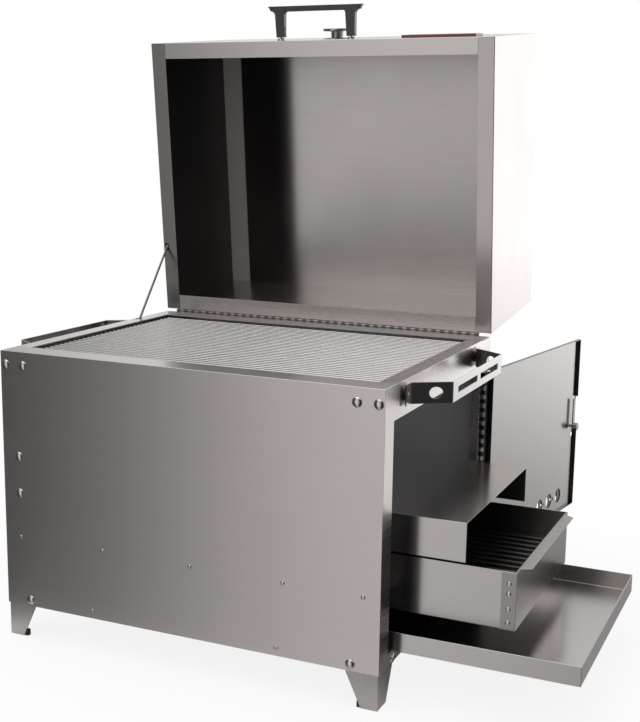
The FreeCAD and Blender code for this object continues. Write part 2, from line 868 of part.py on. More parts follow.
thin = s.drawer_sheet
pan_right = s.firebox_out - thin
pan_left = s.firebox_out - s.firebox_long
strip_mid = s.firebox_out - s.firebox_corner / 2
strip_rivet_zs = (
    s.firebox_high - s.strip_rivet_top, s.firebox_high - s.strip_rivet_second,
    s.firebox_low + s.strip_rivet_third, s.firebox_low + s.strip_rivet_low,
)


def strip_drills():
    """Drills for the rivets through the end panel's corner strips and the pan."""
    drills = []
    deep = thin * 2 + s.cut_past * 2
    for z in strip_rivet_zs:
        drills.append(rod(strip_mid, firebox_front - thin - s.cut_past, z, "y", rivet_hole, deep))
        drills.append(rod(strip_mid, firebox_rear + thin + s.cut_past, z, "-y", rivet_hole, deep))
    return drills


firebox_shell = tray(pan_left, pan_right, firebox_front, firebox_rear, s.firebox_low, s.firebox_high, thin)
node("firebox_pan", cut(firebox_shell, strip_drills()))

end_left = s.firebox_out - s.firebox_corner
end_outer = block(end_left, s.firebox_out, firebox_front - thin, firebox_rear + thin,
                  s.firebox_low, s.firebox_high)
end_inner = block(end_left - s.cut_past, s.firebox_out - thin, firebox_front, firebox_rear,
                  s.firebox_low - s.cut_past, s.firebox_high + s.cut_past)
lip_end = s.firebox_out + s.firebox_lip
lip = drawn("xy", [
    (s.firebox_out - thin, firebox_front + s.lip_root), (s.firebox_out, firebox_front + s.lip_root),
    (lip_end, firebox_front + s.lip_tip), (lip_end, firebox_rear - s.lip_tip),
    (s.firebox_out, firebox_rear - s.lip_root), (s.firebox_out - thin, firebox_rear - s.lip_root),
], s.firebox_high - thin, s.firebox_high)
node("firebox_end_panel", cut(fuse([cut(end_outer, [end_inner]), lip]), strip_drills()))

strip_rivets = []
for z in strip_rivet_zs:
    strip_rivets.append(rivet(strip_mid, firebox_front - thin, z, "-y", thin * 2))
    strip_rivets.append(rivet(strip_mid, firebox_rear + thin, z, "y", thin * 2))
node("firebox_rivets", group(strip_rivets))

coal_z = s.firebox_low + thin + s.coal_height
coal_left = pan_left + thin + s.coal_play
coal_right = pan_right - thin - s.coal_play
coal_half = s.firebox_wide / 2 - thin - s.coal_play
coal_front, coal_rear = s.drawer_centre - coal_half, s.drawer_centre + coal_half
coal_pitch = (coal_half * 2 - s.coal_rod * 2) / (s.coal_rods.number - 1)
coal_parts = []
for index in range(int(s.coal_rods.number)):
    y = coal_front + s.coal_rod + coal_pitch * index
    coal_parts.append(rod(coal_left, y, coal_z, "x", s.coal_rod, coal_right - coal_left))
for x in (coal_left + s.coal_bar_in, (coal_left + coal_right) / 2, coal_right - s.coal_bar_in):
    x0, x1 = x - s.coal_bar_half, x + s.coal_bar_half
    coal_parts.append(block(x0, x1, coal_front, coal_rear, coal_z - s.coal_rod - s.coal_bar_half, coal_z))
    for y, way in ((coal_front, 1), (coal_rear, -1)):
        coal_parts.append(block(x0, x1, y, y + way * s.coal_bar_half * 2, s.firebox_low + thin, coal_z))
node("charcoal_grate", fuse(coal_parts))

# Heat deflector over the firebox
hood_under = s.deflector_high - thin
hood = drawn("yz", [(deflector_front, deflector_low), (deflector_front, s.deflector_high),
                    (deflector_rear, s.deflector_high), (deflector_rear, deflector_low),
                    (deflector_rear - thin, deflector_low), (deflector_rear - thin, hood_under),
                    (deflector_front + thin, hood_under), (deflector_front + thin, deflector_low)],
             s.deflector_out - s.deflector_long, s.deflector_out)
node("heat_deflector", hood)

# Ash pan
node("ash_pan", tray(s.ash_out - s.ash_long, s.ash_out, ash_front, ash_rear, s.ash_low, s.ash_high, thin))


# Lid, drawn shut and then swung open about its hinge. v runs from the hinge forwards, w upwards.
def lid_y(v):
    return lid_axis_y - v


def lid_z(w):
    return lid_axis_z + w


def lid_node(label, thing):
    return node(label, turned(thing, "x", -s.lid_open, 0, lid_axis_y, lid_axis_z))


lid_half = half_wide + s.lid_overhang
lid_far = s.lid_edge + s.lid_long
face_y = lid_y(lid_far)
skin = s.lid_sheet
lid_outline = [
    (s.lid_edge, 0), (s.lid_edge, s.lid_depth), (lid_far, s.lid_depth), (lid_far, 0),
    (lid_far - s.lid_end_flange, 0), (lid_far - s.lid_end_flange, skin), (lid_far - skin, skin),
    (lid_far - skin, s.lid_depth - skin), (s.lid_edge + skin, s.lid_depth - skin),
    (s.lid_edge + skin, skin), (s.lid_edge + s.lid_end_flange, skin), (s.lid_edge + s.lid_end_flange, 0),
]
wrapper = drawn("yz", [(lid_y(v), lid_z(w)) for v, w in lid_outline], -lid_half + skin, lid_half - skin)
lid_cuts = []
for side in (-1, 1):
    edge = side * (lid_half - s.lid_side_flange - s.seam_gap)
    lid_cuts.append(block(side * lid_half, edge, lid_y(lid_far - skin), lid_y(s.lid_edge + skin),
                          lid_z(-s.cut_past), lid_z(skin + s.cut_past)))
    lid_cuts.append(rod(side * s.post_spacing / 2, face_y - s.cut_past, lid_z(s.handle_up), "y",
                        s.rivet_shank + s.screw_play, skin + s.cut_past * 2))
lid_cuts.append(rod(0, face_y - s.cut_past, lid_z(s.gauge_up), "y", s.probe_thread + s.probe_hole_play,
                    skin + s.cut_past * 2))
lid_node("lid_wrapper", cut(wrapper, lid_cuts))


def lid_side(side):
    """One end wall of the lid with its flange."""
    out, inn = side * lid_half, side * (lid_half - skin)
    lip = side * (lid_half - s.lid_side_flange)
    wall = block(out, inn, lid_y(lid_far), lid_y(s.lid_edge), lid_z(0), lid_z(s.lid_depth))
    flange = block(out, lip, lid_y(lid_far - skin - s.seam_gap), lid_y(s.lid_edge + skin + s.seam_gap),
                   lid_z(0), lid_z(skin))
    return fuse([wall, flange])


lid_slot = block(stay_x - s.stay_slot_wide / 2, stay_x + s.stay_slot_wide / 2,
                 lid_y(stay_arm + s.stay_slot_long / 2), lid_y(stay_arm - s.stay_slot_long / 2),
                 lid_z(-s.cut_past), lid_z(skin + s.cut_past))
lid_node("lid_left_wall", cut(lid_side(-1), [lid_slot]))
lid_node("lid_right_wall", lid_side(1))


# Lid hinge: alternating knuckles on two leaves and one pin
def hinge_spans(low, high, count, odd):
    """Start and length of every second knuckle along the pin."""
    pitch = (high - low) / count
    for index in range(odd, int(count.number), 2):
        yield low + pitch * index + s.seam_gap / 2, pitch - s.seam_gap


lid_hinge_half = half_wide - s.lid_hinge_in
lid_hinge_long = lid_hinge_half * 2


def lid_leaf(odd):
    """One leaf of the lid hinge. odd 0 is on the body and hangs down, odd 1 is on the lid and stands up."""
    way = 1 if odd else -1
    root_z = lid_axis_z + way * (s.lid_knuckle + s.knuckle_clear)
    back = lid_y(s.lid_edge) if odd else half_deep
    front = back + s.leaf_sheet
    pieces = [block(-lid_hinge_half, lid_hinge_half, back, front, root_z, lid_axis_z + way * s.lid_leaf_high)]
    for start, long in hinge_spans(-lid_hinge_half, lid_hinge_half, s.lid_knuckles, odd):
        pieces.append(rod(start, lid_axis_y, lid_axis_z, "x", s.lid_knuckle, long))
        pieces.append(block(start, start + long, back, front, lid_axis_z, root_z))
    bore = rod(-lid_hinge_half - s.cut_past, lid_axis_y, lid_axis_z, "x", s.lid_pin + s.pin_play * odd,
               lid_hinge_long + s.cut_past * 2)
    return cut(fuse(pieces), [bore])


node("lid_hinge_body_leaf", lid_leaf(0))
lid_node("lid_hinge_lid_leaf", lid_leaf(1))
node("lid_hinge_pin", rod(-lid_hinge_half, lid_axis_y, lid_axis_z, "x", s.lid_pin, lid_hinge_long))

# Lid handle of black phenolic on two posts with steel ferrules
grip_radius = s.grip_thick / 2
grip_y = face_y - s.grip_height + grip_radius
grip_end = s.grip_long / 2 - grip_radius
handle_z = lid_z(s.handle_up)
grip_parts = [rod(-grip_end, grip_y, handle_z, "x", grip_radius, grip_end * 2)]
handle_bores, ferrules, screws = [], [], []
for side in (-1, 1):
    x = side * s.post_spacing / 2
    grip_parts.append(ball(side * grip_end, grip_y, handle_z, grip_radius))
    grip_parts.append(cone(x, grip_y, handle_z, "y", s.post_top, s.post_foot,
                           s.grip_height - grip_radius - s.ferrule_high))
    handle_bores.append(rod(x, face_y - s.screw_long - s.cut_past, handle_z, "y", rivet_hole,
                            s.screw_long + s.cut_past * 2))
    ferrules.append(cut(rod(x, face_y - s.ferrule_high, handle_z, "y", s.ferrule_wide, s.ferrule_high),
                        [rod(x, face_y - s.ferrule_high - s.cut_past, handle_z, "y", rivet_hole,
                             s.ferrule_high + s.cut_past * 2)]))
    screws.append(fuse([
        rod(x, face_y + skin, handle_z, "y", s.rivet_head, s.screw_head_high),
        rod(x, face_y + skin, handle_z, "-y", s.rivet_shank, s.screw_long + skin),
    ]))
lid_node("lid_handle", cut(fuse(grip_parts), handle_bores))
lid_node("handle_ferrules", group(ferrules))
lid_node("handle_screws", group(screws))

# Thermometer, from its face back to the probe inside the lid
gauge_z = lid_z(s.gauge_up)
gauge_front = face_y - s.gauge_stand - s.gauge_thick
dial_radius = s.gauge_wide - s.gauge_rim - s.hole_play
probe_bore = s.probe_thread + s.hole_play


def gauge_disc(start, radius, long):
    return rod(0, start, gauge_z, "y", radius, long)


case = fuse([
    gauge_disc(gauge_front, s.gauge_wide, s.gauge_thick),
    gauge_disc(face_y - s.gauge_stand, s.gauge_neck, s.gauge_stand),
    gauge_disc(face_y - s.gauge_flange_thick, s.gauge_flange, s.gauge_flange_thick),
])
recess = gauge_disc(gauge_front - s.cut_past, s.gauge_wide - s.gauge_rim, s.gauge_recess + s.cut_past)
stem_bore = gauge_disc(face_y - s.probe_in - s.hole_play, probe_bore, s.probe_in + s.hole_play + s.cut_past)
lid_node("thermometer_case", cut(case, [recess, stem_bore]))
dial_y = gauge_front + s.gauge_recess - s.dial_thick
lid_node("thermometer_dial", gauge_disc(dial_y, dial_radius, s.dial_thick))
pointer_y = gauge_front + s.pointer_deep
lid_node("thermometer_pointer", fuse([
    gauge_disc(pointer_y, s.pointer_hub, s.pointer_hub_high),
    block(-s.pointer_half, s.pointer_half, pointer_y, pointer_y + s.pointer_thick, gauge_z,
          gauge_z + s.gauge_wide - s.pointer_short),
]))
lid_node("thermometer_lens", gauge_disc(gauge_front, dial_radius, s.lens_thick))
lid_node("thermometer_probe", fuse([
    gauge_disc(face_y - s.probe_in, s.probe_thread, s.probe_in + skin + s.probe_out),
    gauge_disc(face_y + skin, s.gauge_stem, s.probe_out + s.gauge_stem_long),
]))
probe_nut = nut(0, face_y + skin, gauge_z, "y", s.probe_nut, s.probe_nut_thick)
nut_bore = gauge_disc(face_y, probe_bore, skin + s.probe_nut_thick + s.cut_past)
lid_node("thermometer_nut", cut(probe_nut, [nut_bore]))

# Bare plate
lid_node("name_plate", block(s.plate_left, s.plate_left + s.plate_long, face_y - s.plate_thick, face_y,
                             lid_z(s.plate_low), lid_z(s.plate_low + s.plate_high)))

# Lid stay: a rod pivoted in the left wall that slides through a slot in the lid's flange
tilt = Length(math.degrees(math.atan2(pivot_up.number, pivot_back.number)),
              "(atan2(%s; %s) / 1deg)" % (pivot_up.text, pivot_back.text))
stay_lean = (s.lid_open - tilt) / 2
stay_long = stay_arm * 2 * sine((s.lid_open + tilt) / 2) + s.stay_past
stay = fuse([
    rod(stay_x, stay_pivot_y, stay_pivot_z, "z", s.stay_rod, stay_long),
    ball(stay_x, stay_pivot_y, stay_pivot_z, s.stay_rod),
    rod(stay_x, stay_pivot_y, stay_pivot_z, "-x", s.stay_rod, s.stay_in + s.stay_tail),
    rod(-half_wide - s.seam_gap, stay_pivot_y, stay_pivot_z, "-x", s.stay_head, s.stay_head_thick),
    rod(stay_x - s.stay_hook / 2, stay_pivot_y, stay_pivot_z + stay_long, "x", s.stay_rod, s.stay_hook),
])
node("lid_stay", turned(stay, "x", -stay_lean, 0, stay_pivot_y, stay_pivot_z))

# Door, drawn shut and then swung open about its hinge
door_axis_x = half_wide + s.door_axis_out
door_axis_y = s.door_open_rear + s.door_axis_back


def door_node(label, thing):
    return node(label, turned(thing, "z", s.door_open, door_axis_x, door_axis_y, 0))


door_face = half_wide
door_back = door_face - s.door_sheet
door_front = -(s.door_open_front - s.door_gap)
door_rear = s.door_open_rear - s.door_gap
door_low = s.door_open_low + s.door_gap
door_high = door_open_high - s.door_gap
door_box = block(door_face - s.door_flange, door_face, door_front, door_rear, door_low, door_high)
door_hollow = block(door_face - s.door_flange - s.cut_past, door_back, door_front + s.door_sheet,
                    door_rear - s.door_sheet, door_low + s.door_sheet, door_high - s.door_sheet)


def door_drill(y, z, radius):
    return rod(door_back - s.cut_past, y, z, "x", radius, s.door_sheet + s.cut_past * 2)


vent_z = door_low + s.vent_up
vent_ys = [door_front + s.vent_from_edge + s.vent_pitch * index for index in range(3)]
stud_ys = [y + s.vent_pitch / 2 for y in vent_ys[:2]]
latch_y = door_front + s.latch_in
latch_z = door_low + s.latch_up
door_cuts = [door_hollow]
door_cuts += [door_drill(y, vent_z, s.vent_hole) for y in vent_ys]
door_cuts += [door_drill(y, vent_z, rivet_hole) for y in stud_ys]
door_cuts.append(door_drill(latch_y, latch_z, s.latch_spindle + s.pin_play))
door_cuts.append(block(door_face - s.door_flange - s.cut_past, door_face - s.latch_stand + s.notch_deep,
                       door_front - s.cut_past, door_front + s.door_sheet + s.cut_past,
                       latch_z - s.notch_down, latch_z + s.notch_up))
door_cuts.append(door_drill(door_front + s.lock_hole_in, latch_z - s.lock_hole_down, s.lock_hole))
door_node("door_pan", cut(door_box, door_cuts))

# Vent slider on two studs
slider_x = door_face + s.seam_gap
slider_y = vent_ys[0] - s.vent_hole - s.slider_end + s.slider_shift
slider_plate = block(slider_x, slider_x + s.slider_sheet, slider_y,
                     slider_y + s.vent_pitch * 2 + s.vent_hole * 2 + s.slider_end * 2,
                     vent_z - s.slider_high / 2, vent_z + s.slider_high / 2)
slider_cuts = [rod(slider_x - s.cut_past, y + s.slider_shift, vent_z, "x", s.vent_hole,
                   s.slider_sheet + s.cut_past * 2) for y in vent_ys]
slot_reach = s.slider_shift + rivet_hole
for y in stud_ys:
    slider_cuts.append(block(slider_x - s.cut_past, slider_x + s.slider_sheet + s.cut_past,
                             y - slot_reach, y + slot_reach, vent_z - rivet_hole, vent_z + rivet_hole))
tab_y0 = slider_y + s.slider_tab_in
slider_tab = block(slider_x, slider_x + s.slider_sheet + s.slider_tab_out, tab_y0, tab_y0 + s.slider_sheet,
                   vent_z - s.slider_tab_half, vent_z + s.slider_tab_half)
door_node("vent_slider", fuse([cut(slider_plate, slider_cuts), slider_tab]))
studs = []
stud_head_x = slider_x + s.slider_sheet + s.seam_gap
for y in stud_ys:
    studs.append(fuse([
        rod(door_back, y, vent_z, "x", s.rivet_shank, stud_head_x - door_back),
        rod(stud_head_x, y, vent_z, "x", s.rivet_head, s.rivet_rise),
        rod(door_back, y, vent_z, "-x", s.rivet_head, s.rivet_rise),
    ]))
door_node("vent_studs", group(studs))

# Latch: a turn knob outside, a spindle through the door and a bar inside
latch_x = door_face - s.latch_stand - s.latch_sheet
knob_x = door_face + s.seam_gap
latch_nut_x = latch_x - s.latch_nut_thick


def spindle_bore(low, high):
    return rod(low, latch_y, latch_z, "x", s.latch_spindle, high - low)


latch_bar = fuse([
    block(latch_x, latch_x + s.latch_sheet, latch_y - s.latch_wide / 2, latch_y + s.latch_wide / 2, latch_z,
          latch_z + s.latch_long),
    rod(latch_x, latch_y, latch_z, "x", s.latch_wide / 2, s.latch_sheet),
])
bar_bore = spindle_bore(latch_x - s.cut_past, latch_x + s.latch_sheet + s.cut_past)
door_node("latch_bar", cut(latch_bar, [bar_bore]))
door_node("latch_spindle", spindle_bore(latch_nut_x, door_face + s.spindle_out))
knob = cone(knob_x, latch_y, latch_z, "x", s.latch_knob, s.latch_knob - s.latch_knob_taper, s.latch_knob_high)
door_node("latch_knob", cut(knob, [spindle_bore(knob_x - s.cut_past, door_face + s.spindle_out)]))
latch_nut = nut(latch_nut_x, latch_y, latch_z, "x", s.latch_nut, s.latch_nut_thick)
nut_drill = spindle_bore(latch_nut_x - s.cut_past, latch_x + s.cut_past)
door_node("latch_nut", cut(latch_nut, [nut_drill]))


# Door hinge: alternating knuckles on a leaf of the rear stile and a leaf of the door
door_hinge_low = door_low + s.door_hinge_up
door_hinge_high = door_high - s.door_hinge_down


def door_leaf(odd):
    """One leaf of the door hinge. odd 0 is on the stile, odd 1 on the door."""
    low, high = door_hinge_low, door_hinge_high
    clear = s.door_knuckle + s.knuckle_clear
    x0, x1 = door_face, door_face + s.leaf_sheet
    root_y = door_axis_y - clear if odd else door_axis_y + clear
    tip_y = door_rear - s.door_leaf_wide if odd else door_axis_y + s.door_leaf_wide
    pieces = [block(x0, x1, root_y, tip_y, low, high)]
    for start, long in hinge_spans(low, high, s.door_knuckles, odd):
        pieces.append(rod(door_axis_x, door_axis_y, start, "z", s.door_knuckle, long))
        pieces.append(block(x0, x1, root_y, door_axis_y, start, start + long))
    bore = rod(door_axis_x, door_axis_y, low - s.cut_past, "z", s.door_pin + s.pin_play * odd,
               high - low + s.cut_past * 2)
    return cut(fuse(pieces), [bore])


node("door_hinge_frame_leaf", door_leaf(0))
door_node("door_hinge_door_leaf", door_leaf(1))
node("door_hinge_pin", rod(door_axis_x, door_axis_y, door_hinge_low, "z", s.door_pin,
                           door_hinge_high - door_hinge_low))


# Side handles: a grip between two slanted arms, with lugs riveted to the end walls over spacers
def side_handle(side):
    """One handle of bent strip. side is the x sign."""
    wall = half_wide + s.side_spacer
    out = half_wide + s.side_grip_out
    t = s.side_sheet
    a, b = s.side_root_half, s.side_grip_half
    lug = a + s.side_lug
    outer = [(wall, -lug), (wall + t, -lug), (wall + t, -a - t), (out, -b - t * ARM_MITRE),
             (out, b + t * ARM_MITRE), (wall + t, a + t), (wall + t, lug), (wall, lug),
             (wall, a), (out - t, b), (out - t, -b), (wall, -a)]
    strip = drawn("xy", [(side * x, y) for x, y in outer], handle_mid - s.side_high / 2,
                  handle_mid + s.side_high / 2)
    arm_x = wall + (out - wall) * ARM_HOLE_PLACE
    cuts = []
    for end in (-1, 1):
        cuts.append(block(side * (out - t - s.cut_past), side * (out + s.cut_past), end * s.side_slot_near,
                          end * s.side_slot_far, handle_mid - s.side_slot_high / 2,
                          handle_mid + s.side_slot_high / 2))
        cuts.append(rod(side * arm_x, end * lug, handle_mid, against(outwards("y", end)), s.side_arm_hole,
                        lug - b + s.cut_past * 2))
        cuts.append(rod(side * (wall - s.cut_past), end * handle_rivet_y, handle_mid, outwards("x", side),
                        rivet_hole, t + s.cut_past * 2))
    return cut(strip, cuts)


node("right_handle", side_handle(1))
node("left_handle", side_handle(-1))
spacers, handle_rivets = [], []
handle_grip = s.side_spacer + s.side_sheet
for side in (-1, 1):
    way = outwards("x", side)
    for end in (-1, 1):
        y = end * handle_rivet_y
        spacers.append(cut(rod(side * half_wide, y, handle_mid, way, s.spacer_wide, s.side_spacer),
                           [rod(side * (half_wide - s.cut_past), y, handle_mid, way, rivet_hole,
                                s.side_spacer + s.cut_past * 2)]))
        handle_rivets.append(rivet(side * (half_wide + handle_grip), y, handle_mid, way,
                                   handle_grip + s.panel_sheet))
node("handle_spacers", group(spacers))
node("handle_rivets", group(handle_rivets))

doc.recompute()
for item in doc.Objects:
    if "Invalid" in item.State or "Error" in item.State:
        raise RuntimeError("%s (%s) failed: %s" % (item.Name, item.Label, item.State))

os.makedirs("parts", exist_ok=True)
for label, thing in NODES.items():
    shape = thing.Shape
    if shape.isNull() or not shape.isValid() or not shape.Solids:
        raise RuntimeError("%s has no valid shape" % label)
    shape.exportStep("parts/%s.step" % label)
    box = shape.BoundBox
    print("%-24s %2d solids  x %7.1f %7.1f  y %7.1f %7.1f  z %7.1f %7.1f"
          % (label, len(shape.Solids), box.XMin, box.XMax, box.YMin, box.YMax, box.ZMin, box.ZMax))
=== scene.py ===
import json
import math

import bmesh
import bpy
from mathutils import Matrix, Vector

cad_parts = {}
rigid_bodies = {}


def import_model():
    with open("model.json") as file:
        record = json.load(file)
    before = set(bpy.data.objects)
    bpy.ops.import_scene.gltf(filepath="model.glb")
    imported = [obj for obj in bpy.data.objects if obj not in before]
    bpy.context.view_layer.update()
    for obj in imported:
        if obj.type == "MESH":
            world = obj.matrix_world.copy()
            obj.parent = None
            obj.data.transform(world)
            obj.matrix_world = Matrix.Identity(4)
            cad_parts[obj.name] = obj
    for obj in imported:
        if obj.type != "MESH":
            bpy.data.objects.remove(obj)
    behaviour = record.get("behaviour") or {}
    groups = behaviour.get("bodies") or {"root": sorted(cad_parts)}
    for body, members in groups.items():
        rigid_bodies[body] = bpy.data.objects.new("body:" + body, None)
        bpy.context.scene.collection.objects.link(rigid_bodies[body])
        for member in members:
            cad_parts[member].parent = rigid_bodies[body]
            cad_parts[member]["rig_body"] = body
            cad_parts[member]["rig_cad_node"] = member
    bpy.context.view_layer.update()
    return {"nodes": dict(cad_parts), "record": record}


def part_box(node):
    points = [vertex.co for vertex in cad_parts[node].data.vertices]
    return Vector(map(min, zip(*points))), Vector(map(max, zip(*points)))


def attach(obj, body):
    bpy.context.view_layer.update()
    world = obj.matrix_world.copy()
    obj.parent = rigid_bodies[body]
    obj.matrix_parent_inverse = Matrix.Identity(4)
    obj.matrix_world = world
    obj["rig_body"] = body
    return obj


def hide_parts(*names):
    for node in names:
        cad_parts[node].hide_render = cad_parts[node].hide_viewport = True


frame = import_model()

MM = 0.001
NODES = frame["nodes"]
BODIES = frame["record"]["behaviour"]["bodies"]
BODY_OF = {node: body for body, members in BODIES.items() for node in members}

# The middle of the body on the ground, from which the camera and the lamps are placed
panel_low, panel_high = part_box("front_panel")
rear_low, rear_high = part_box("rear_panel")
MIDDLE = Vector(((panel_low.x + panel_high.x) / 2, (panel_low.y + rear_high.y) / 2, 0))


def at(x, y, z):
    """A place given in millimetres from the middle of the body on the ground."""
    return MIDDLE + Vector((x, y, z)) * MM


# The lid's own frame: x across, y from the rim into the lid, z from the hinge to the front wall
LID_OPEN = math.radians(84.3)
pin_low, pin_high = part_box("lid_hinge_pin")
LID_AXIS = Vector((MIDDLE.x, (pin_low.y + pin_high.y) / 2, (pin_low.z + pin_high.z) / 2))
LID_FRAME = Matrix.Translation(LID_AXIS) @ Matrix.Rotation(math.pi / 2 - LID_OPEN, 4, "X")
LID_FACE = 495.75


def lid_place(x, y, z):
    return LID_FRAME @ (Vector((x, y, z)) * MM)


def lid_way(x, y, z):
    return LID_FRAME.to_3x3() @ Vector((x, y, z))


# Camera of the photograph: its frame is 640 x 722 pixels
PHOTO_HIGH = 722
PHOTO_CENTRE = (320.0, 361.0)
FOCAL_PIXELS = 1209.3
PRINCIPAL_POINT = (319.35, 360.9)
CAMERA_PLACE = (881.5, -1740.1, 797.0)
CAMERA_FORWARD = Vector((-0.398, 0.89929, -0.18132))
CAMERA_RIGHT = Vector((0.91329, 0.40707, 0.01421))
SENSOR = 36.0


def add_camera():
    data = bpy.data.cameras.new("photo_camera")
    data.sensor_fit = "VERTICAL"
    data.sensor_height = SENSOR
    data.lens = FOCAL_PIXELS * SENSOR / PHOTO_HIGH
    data.shift_x = (PHOTO_CENTRE[0] - PRINCIPAL_POINT[0]) / PHOTO_HIGH
    data.shift_y = (PRINCIPAL_POINT[1] - PHOTO_CENTRE[1]) / PHOTO_HIGH
    data.clip_start = 0.05
    data.clip_end = 60
    camera = bpy.data.objects.new("photo_camera", data)
    bpy.context.scene.collection.objects.link(camera)
    forward = CAMERA_FORWARD.normalized()
    right = (CAMERA_RIGHT - forward * CAMERA_RIGHT.dot(forward)).normalized()
    up = right.cross(forward)
    turn = Matrix((right, up, -forward)).transposed().to_4x4()
    camera.matrix_world = Matrix.Translation(at(*CAMERA_PLACE)) @ turn
    bpy.context.scene.camera = camera


# Shader node helpers and shared groups
class Tree:
    """A node tree that is built by naming nodes and joining sockets."""

    def __init__(self, tree):
        self.tree = tree

    def node(self, kind, **settings):
        made = self.tree.nodes.new(kind)
        for word, item in settings.items():
            setattr(made, word, item)
        return made

    def join(self, source, target):
        self.tree.links.new(source, target)

    def feed(self, sockets, items):
        """Sets each socket to a number or a colour, or joins an output to it."""
        for socket, item in zip(sockets, items):
            if isinstance(item, (int, float, tuple)):
                socket.default_value = item
            else:
                self.join(item, socket)

    def math(self, operation, first, second=0.0, clamp=False):
        made = self.node("ShaderNodeMath", operation=operation, use_clamp=clamp)
        self.feed(made.inputs[:2], (first, second))
        return made.outputs[0]

    def mix_colour(self, amount, first, second):
        made = self.node("ShaderNodeMix", data_type="RGBA")
        self.feed((made.inputs[0], made.inputs[6], made.inputs[7]), (amount, first, second))
        return made.outputs[2]

    def mix_value(self, amount, first, second):
        made = self.node("ShaderNodeMix", data_type="FLOAT")
        self.feed((made.inputs[0], made.inputs[2], made.inputs[3]), (amount, first, second))
        return made.outputs[0]

    def noise(self, vector, scale, detail=2.0, rough=0.5):
        made = self.node("ShaderNodeTexNoise")
        made.inputs["Scale"].default_value = scale
        made.inputs["Detail"].default_value = detail
        made.inputs["Roughness"].default_value = rough
        self.join(vector, made.inputs["Vector"])
        return made.outputs["Fac"]

    def rise(self, item, low, high):
        """0 below low and 1 above high, with a soft step between them."""
        made = self.node("ShaderNodeMapRange", interpolation_type="SMOOTHSTEP")
        made.inputs["From Min"].default_value = low
        made.inputs["From Max"].default_value = high
        self.join(item, made.inputs["Value"])
        return made.outputs["Result"]

    def axes(self, vector):
        made = self.node("ShaderNodeSeparateXYZ")
        self.join(vector, made.inputs[0])
        return made.outputs


def group_tree(name, inputs, outputs):
    tree = bpy.data.node_groups.new(name, "ShaderNodeTree")
    for word, kind, default in inputs:
        socket = tree.interface.new_socket(word, in_out="INPUT", socket_type=kind)
        if default is not None:
            socket.default_value = default
    for word, kind in outputs:
        tree.interface.new_socket(word, in_out="OUTPUT", socket_type=kind)
    build = Tree(tree)
    return build, build.node("NodeGroupInput"), build.node("NodeGroupOutput")


def brushed_group():
    """Long fine brush lines along X with soft handling marks, as a streak, a smudge and a height."""
    build, start, end = group_tree(
        "brushed_grain",
        [("Vector", "NodeSocketVector", None), ("Length", "NodeSocketFloat", 9.0),
         ("Fineness", "NodeSocketFloat", 900.0)],
        [("Streak", "NodeSocketFloat"), ("Smudge", "NodeSocketFloat"), ("Height", "NodeSocketFloat")])
    stretch = build.node("ShaderNodeCombineXYZ")
    build.join(start.outputs["Length"], stretch.inputs[0])
    build.join(start.outputs["Fineness"], stretch.inputs[1])
    build.join(start.outputs["Fineness"], stretch.inputs[2])
    fine = build.node("ShaderNodeVectorMath", operation="MULTIPLY")
    build.join(start.outputs["Vector"], fine.inputs[0])
    build.join(stretch.outputs[0], fine.inputs[1])
    lines = build.noise(fine.outputs[0], 1.0, 3.0, 0.6)
    broad_stretch = build.node("ShaderNodeVectorMath", operation="MULTIPLY")
    build.join(start.outputs["Vector"], broad_stretch.inputs[0])
    broad_stretch.inputs[1].default_value = (3.0, 120.0, 120.0)
    broad = build.noise(broad_stretch.outputs[0], 1.0, 2.0, 0.5)
    streak = build.math("ADD", build.math("MULTIPLY", lines, 0.8), build.math("MULTIPLY", broad, 0.2))
    smudge = build.noise(start.outputs["Vector"], 7.0, 3.0, 0.55)
    build.join(streak, end.inputs["Streak"])
    build.join(smudge, end.inputs["Smudge"])
    build.join(lines, end.inputs["Height"])
    return build.tree


GRAIN = brushed_group()
GRAIN_TURN = {"x": (0, 0, 0), "y": (0, 0, math.pi / 2), "z": (0, math.pi / 2, 0)}


def material_start(name):
    made = bpy.data.materials.new(name)
    made.use_nodes = True
    build = Tree(made.node_tree)
    shader = made.node_tree.nodes["Principled BSDF"]
    return made, build, shader


def place_vector(build, turn=(0, 0, 0)):
    coordinates = build.node("ShaderNodeTexCoord")
    mapping = build.node("ShaderNodeMapping")
    mapping.inputs["Rotation"].default_value = turn
    build.join(coordinates.outputs["Object"], mapping.inputs["Vector"])
    return mapping.outputs["Vector"]


STRIP_EDGE = -280 * MM
STRIP_SOFT = 3 * MM
ROOF_DEPTH = 262 * MM


def lid_strip(build):
    """A mask of the strip along the left edge of the lid's inner roof, where the brushing is duller."""
    inside = build.node("ShaderNodeMapping", vector_type="TEXTURE")
    inside.inputs["Location"].default_value = LID_AXIS
    inside.inputs["Rotation"].default_value = (math.pi / 2 - LID_OPEN, 0, 0)
    build.join(build.node("ShaderNodeTexCoord").outputs["Object"], inside.inputs["Vector"])
    across, depth, _ = build.axes(inside.outputs["Vector"])
    beyond = build.rise(across, STRIP_EDGE - STRIP_SOFT, STRIP_EDGE + STRIP_SOFT)
    roof = build.rise(depth, ROOF_DEPTH - STRIP_SOFT, ROOF_DEPTH)
    return build.math("MULTIPLY", build.math("SUBTRACT", 1.0, beyond), roof)


# The direction across the brush lines, in which steel blurs what it mirrors
BLUR_WAY = {"x": (0, 1, 1), "y": (0, 0, 1), "z": (1, 1, 0)}
DULLER_ROUGH = 0.2
DULLER_METAL = 0.9


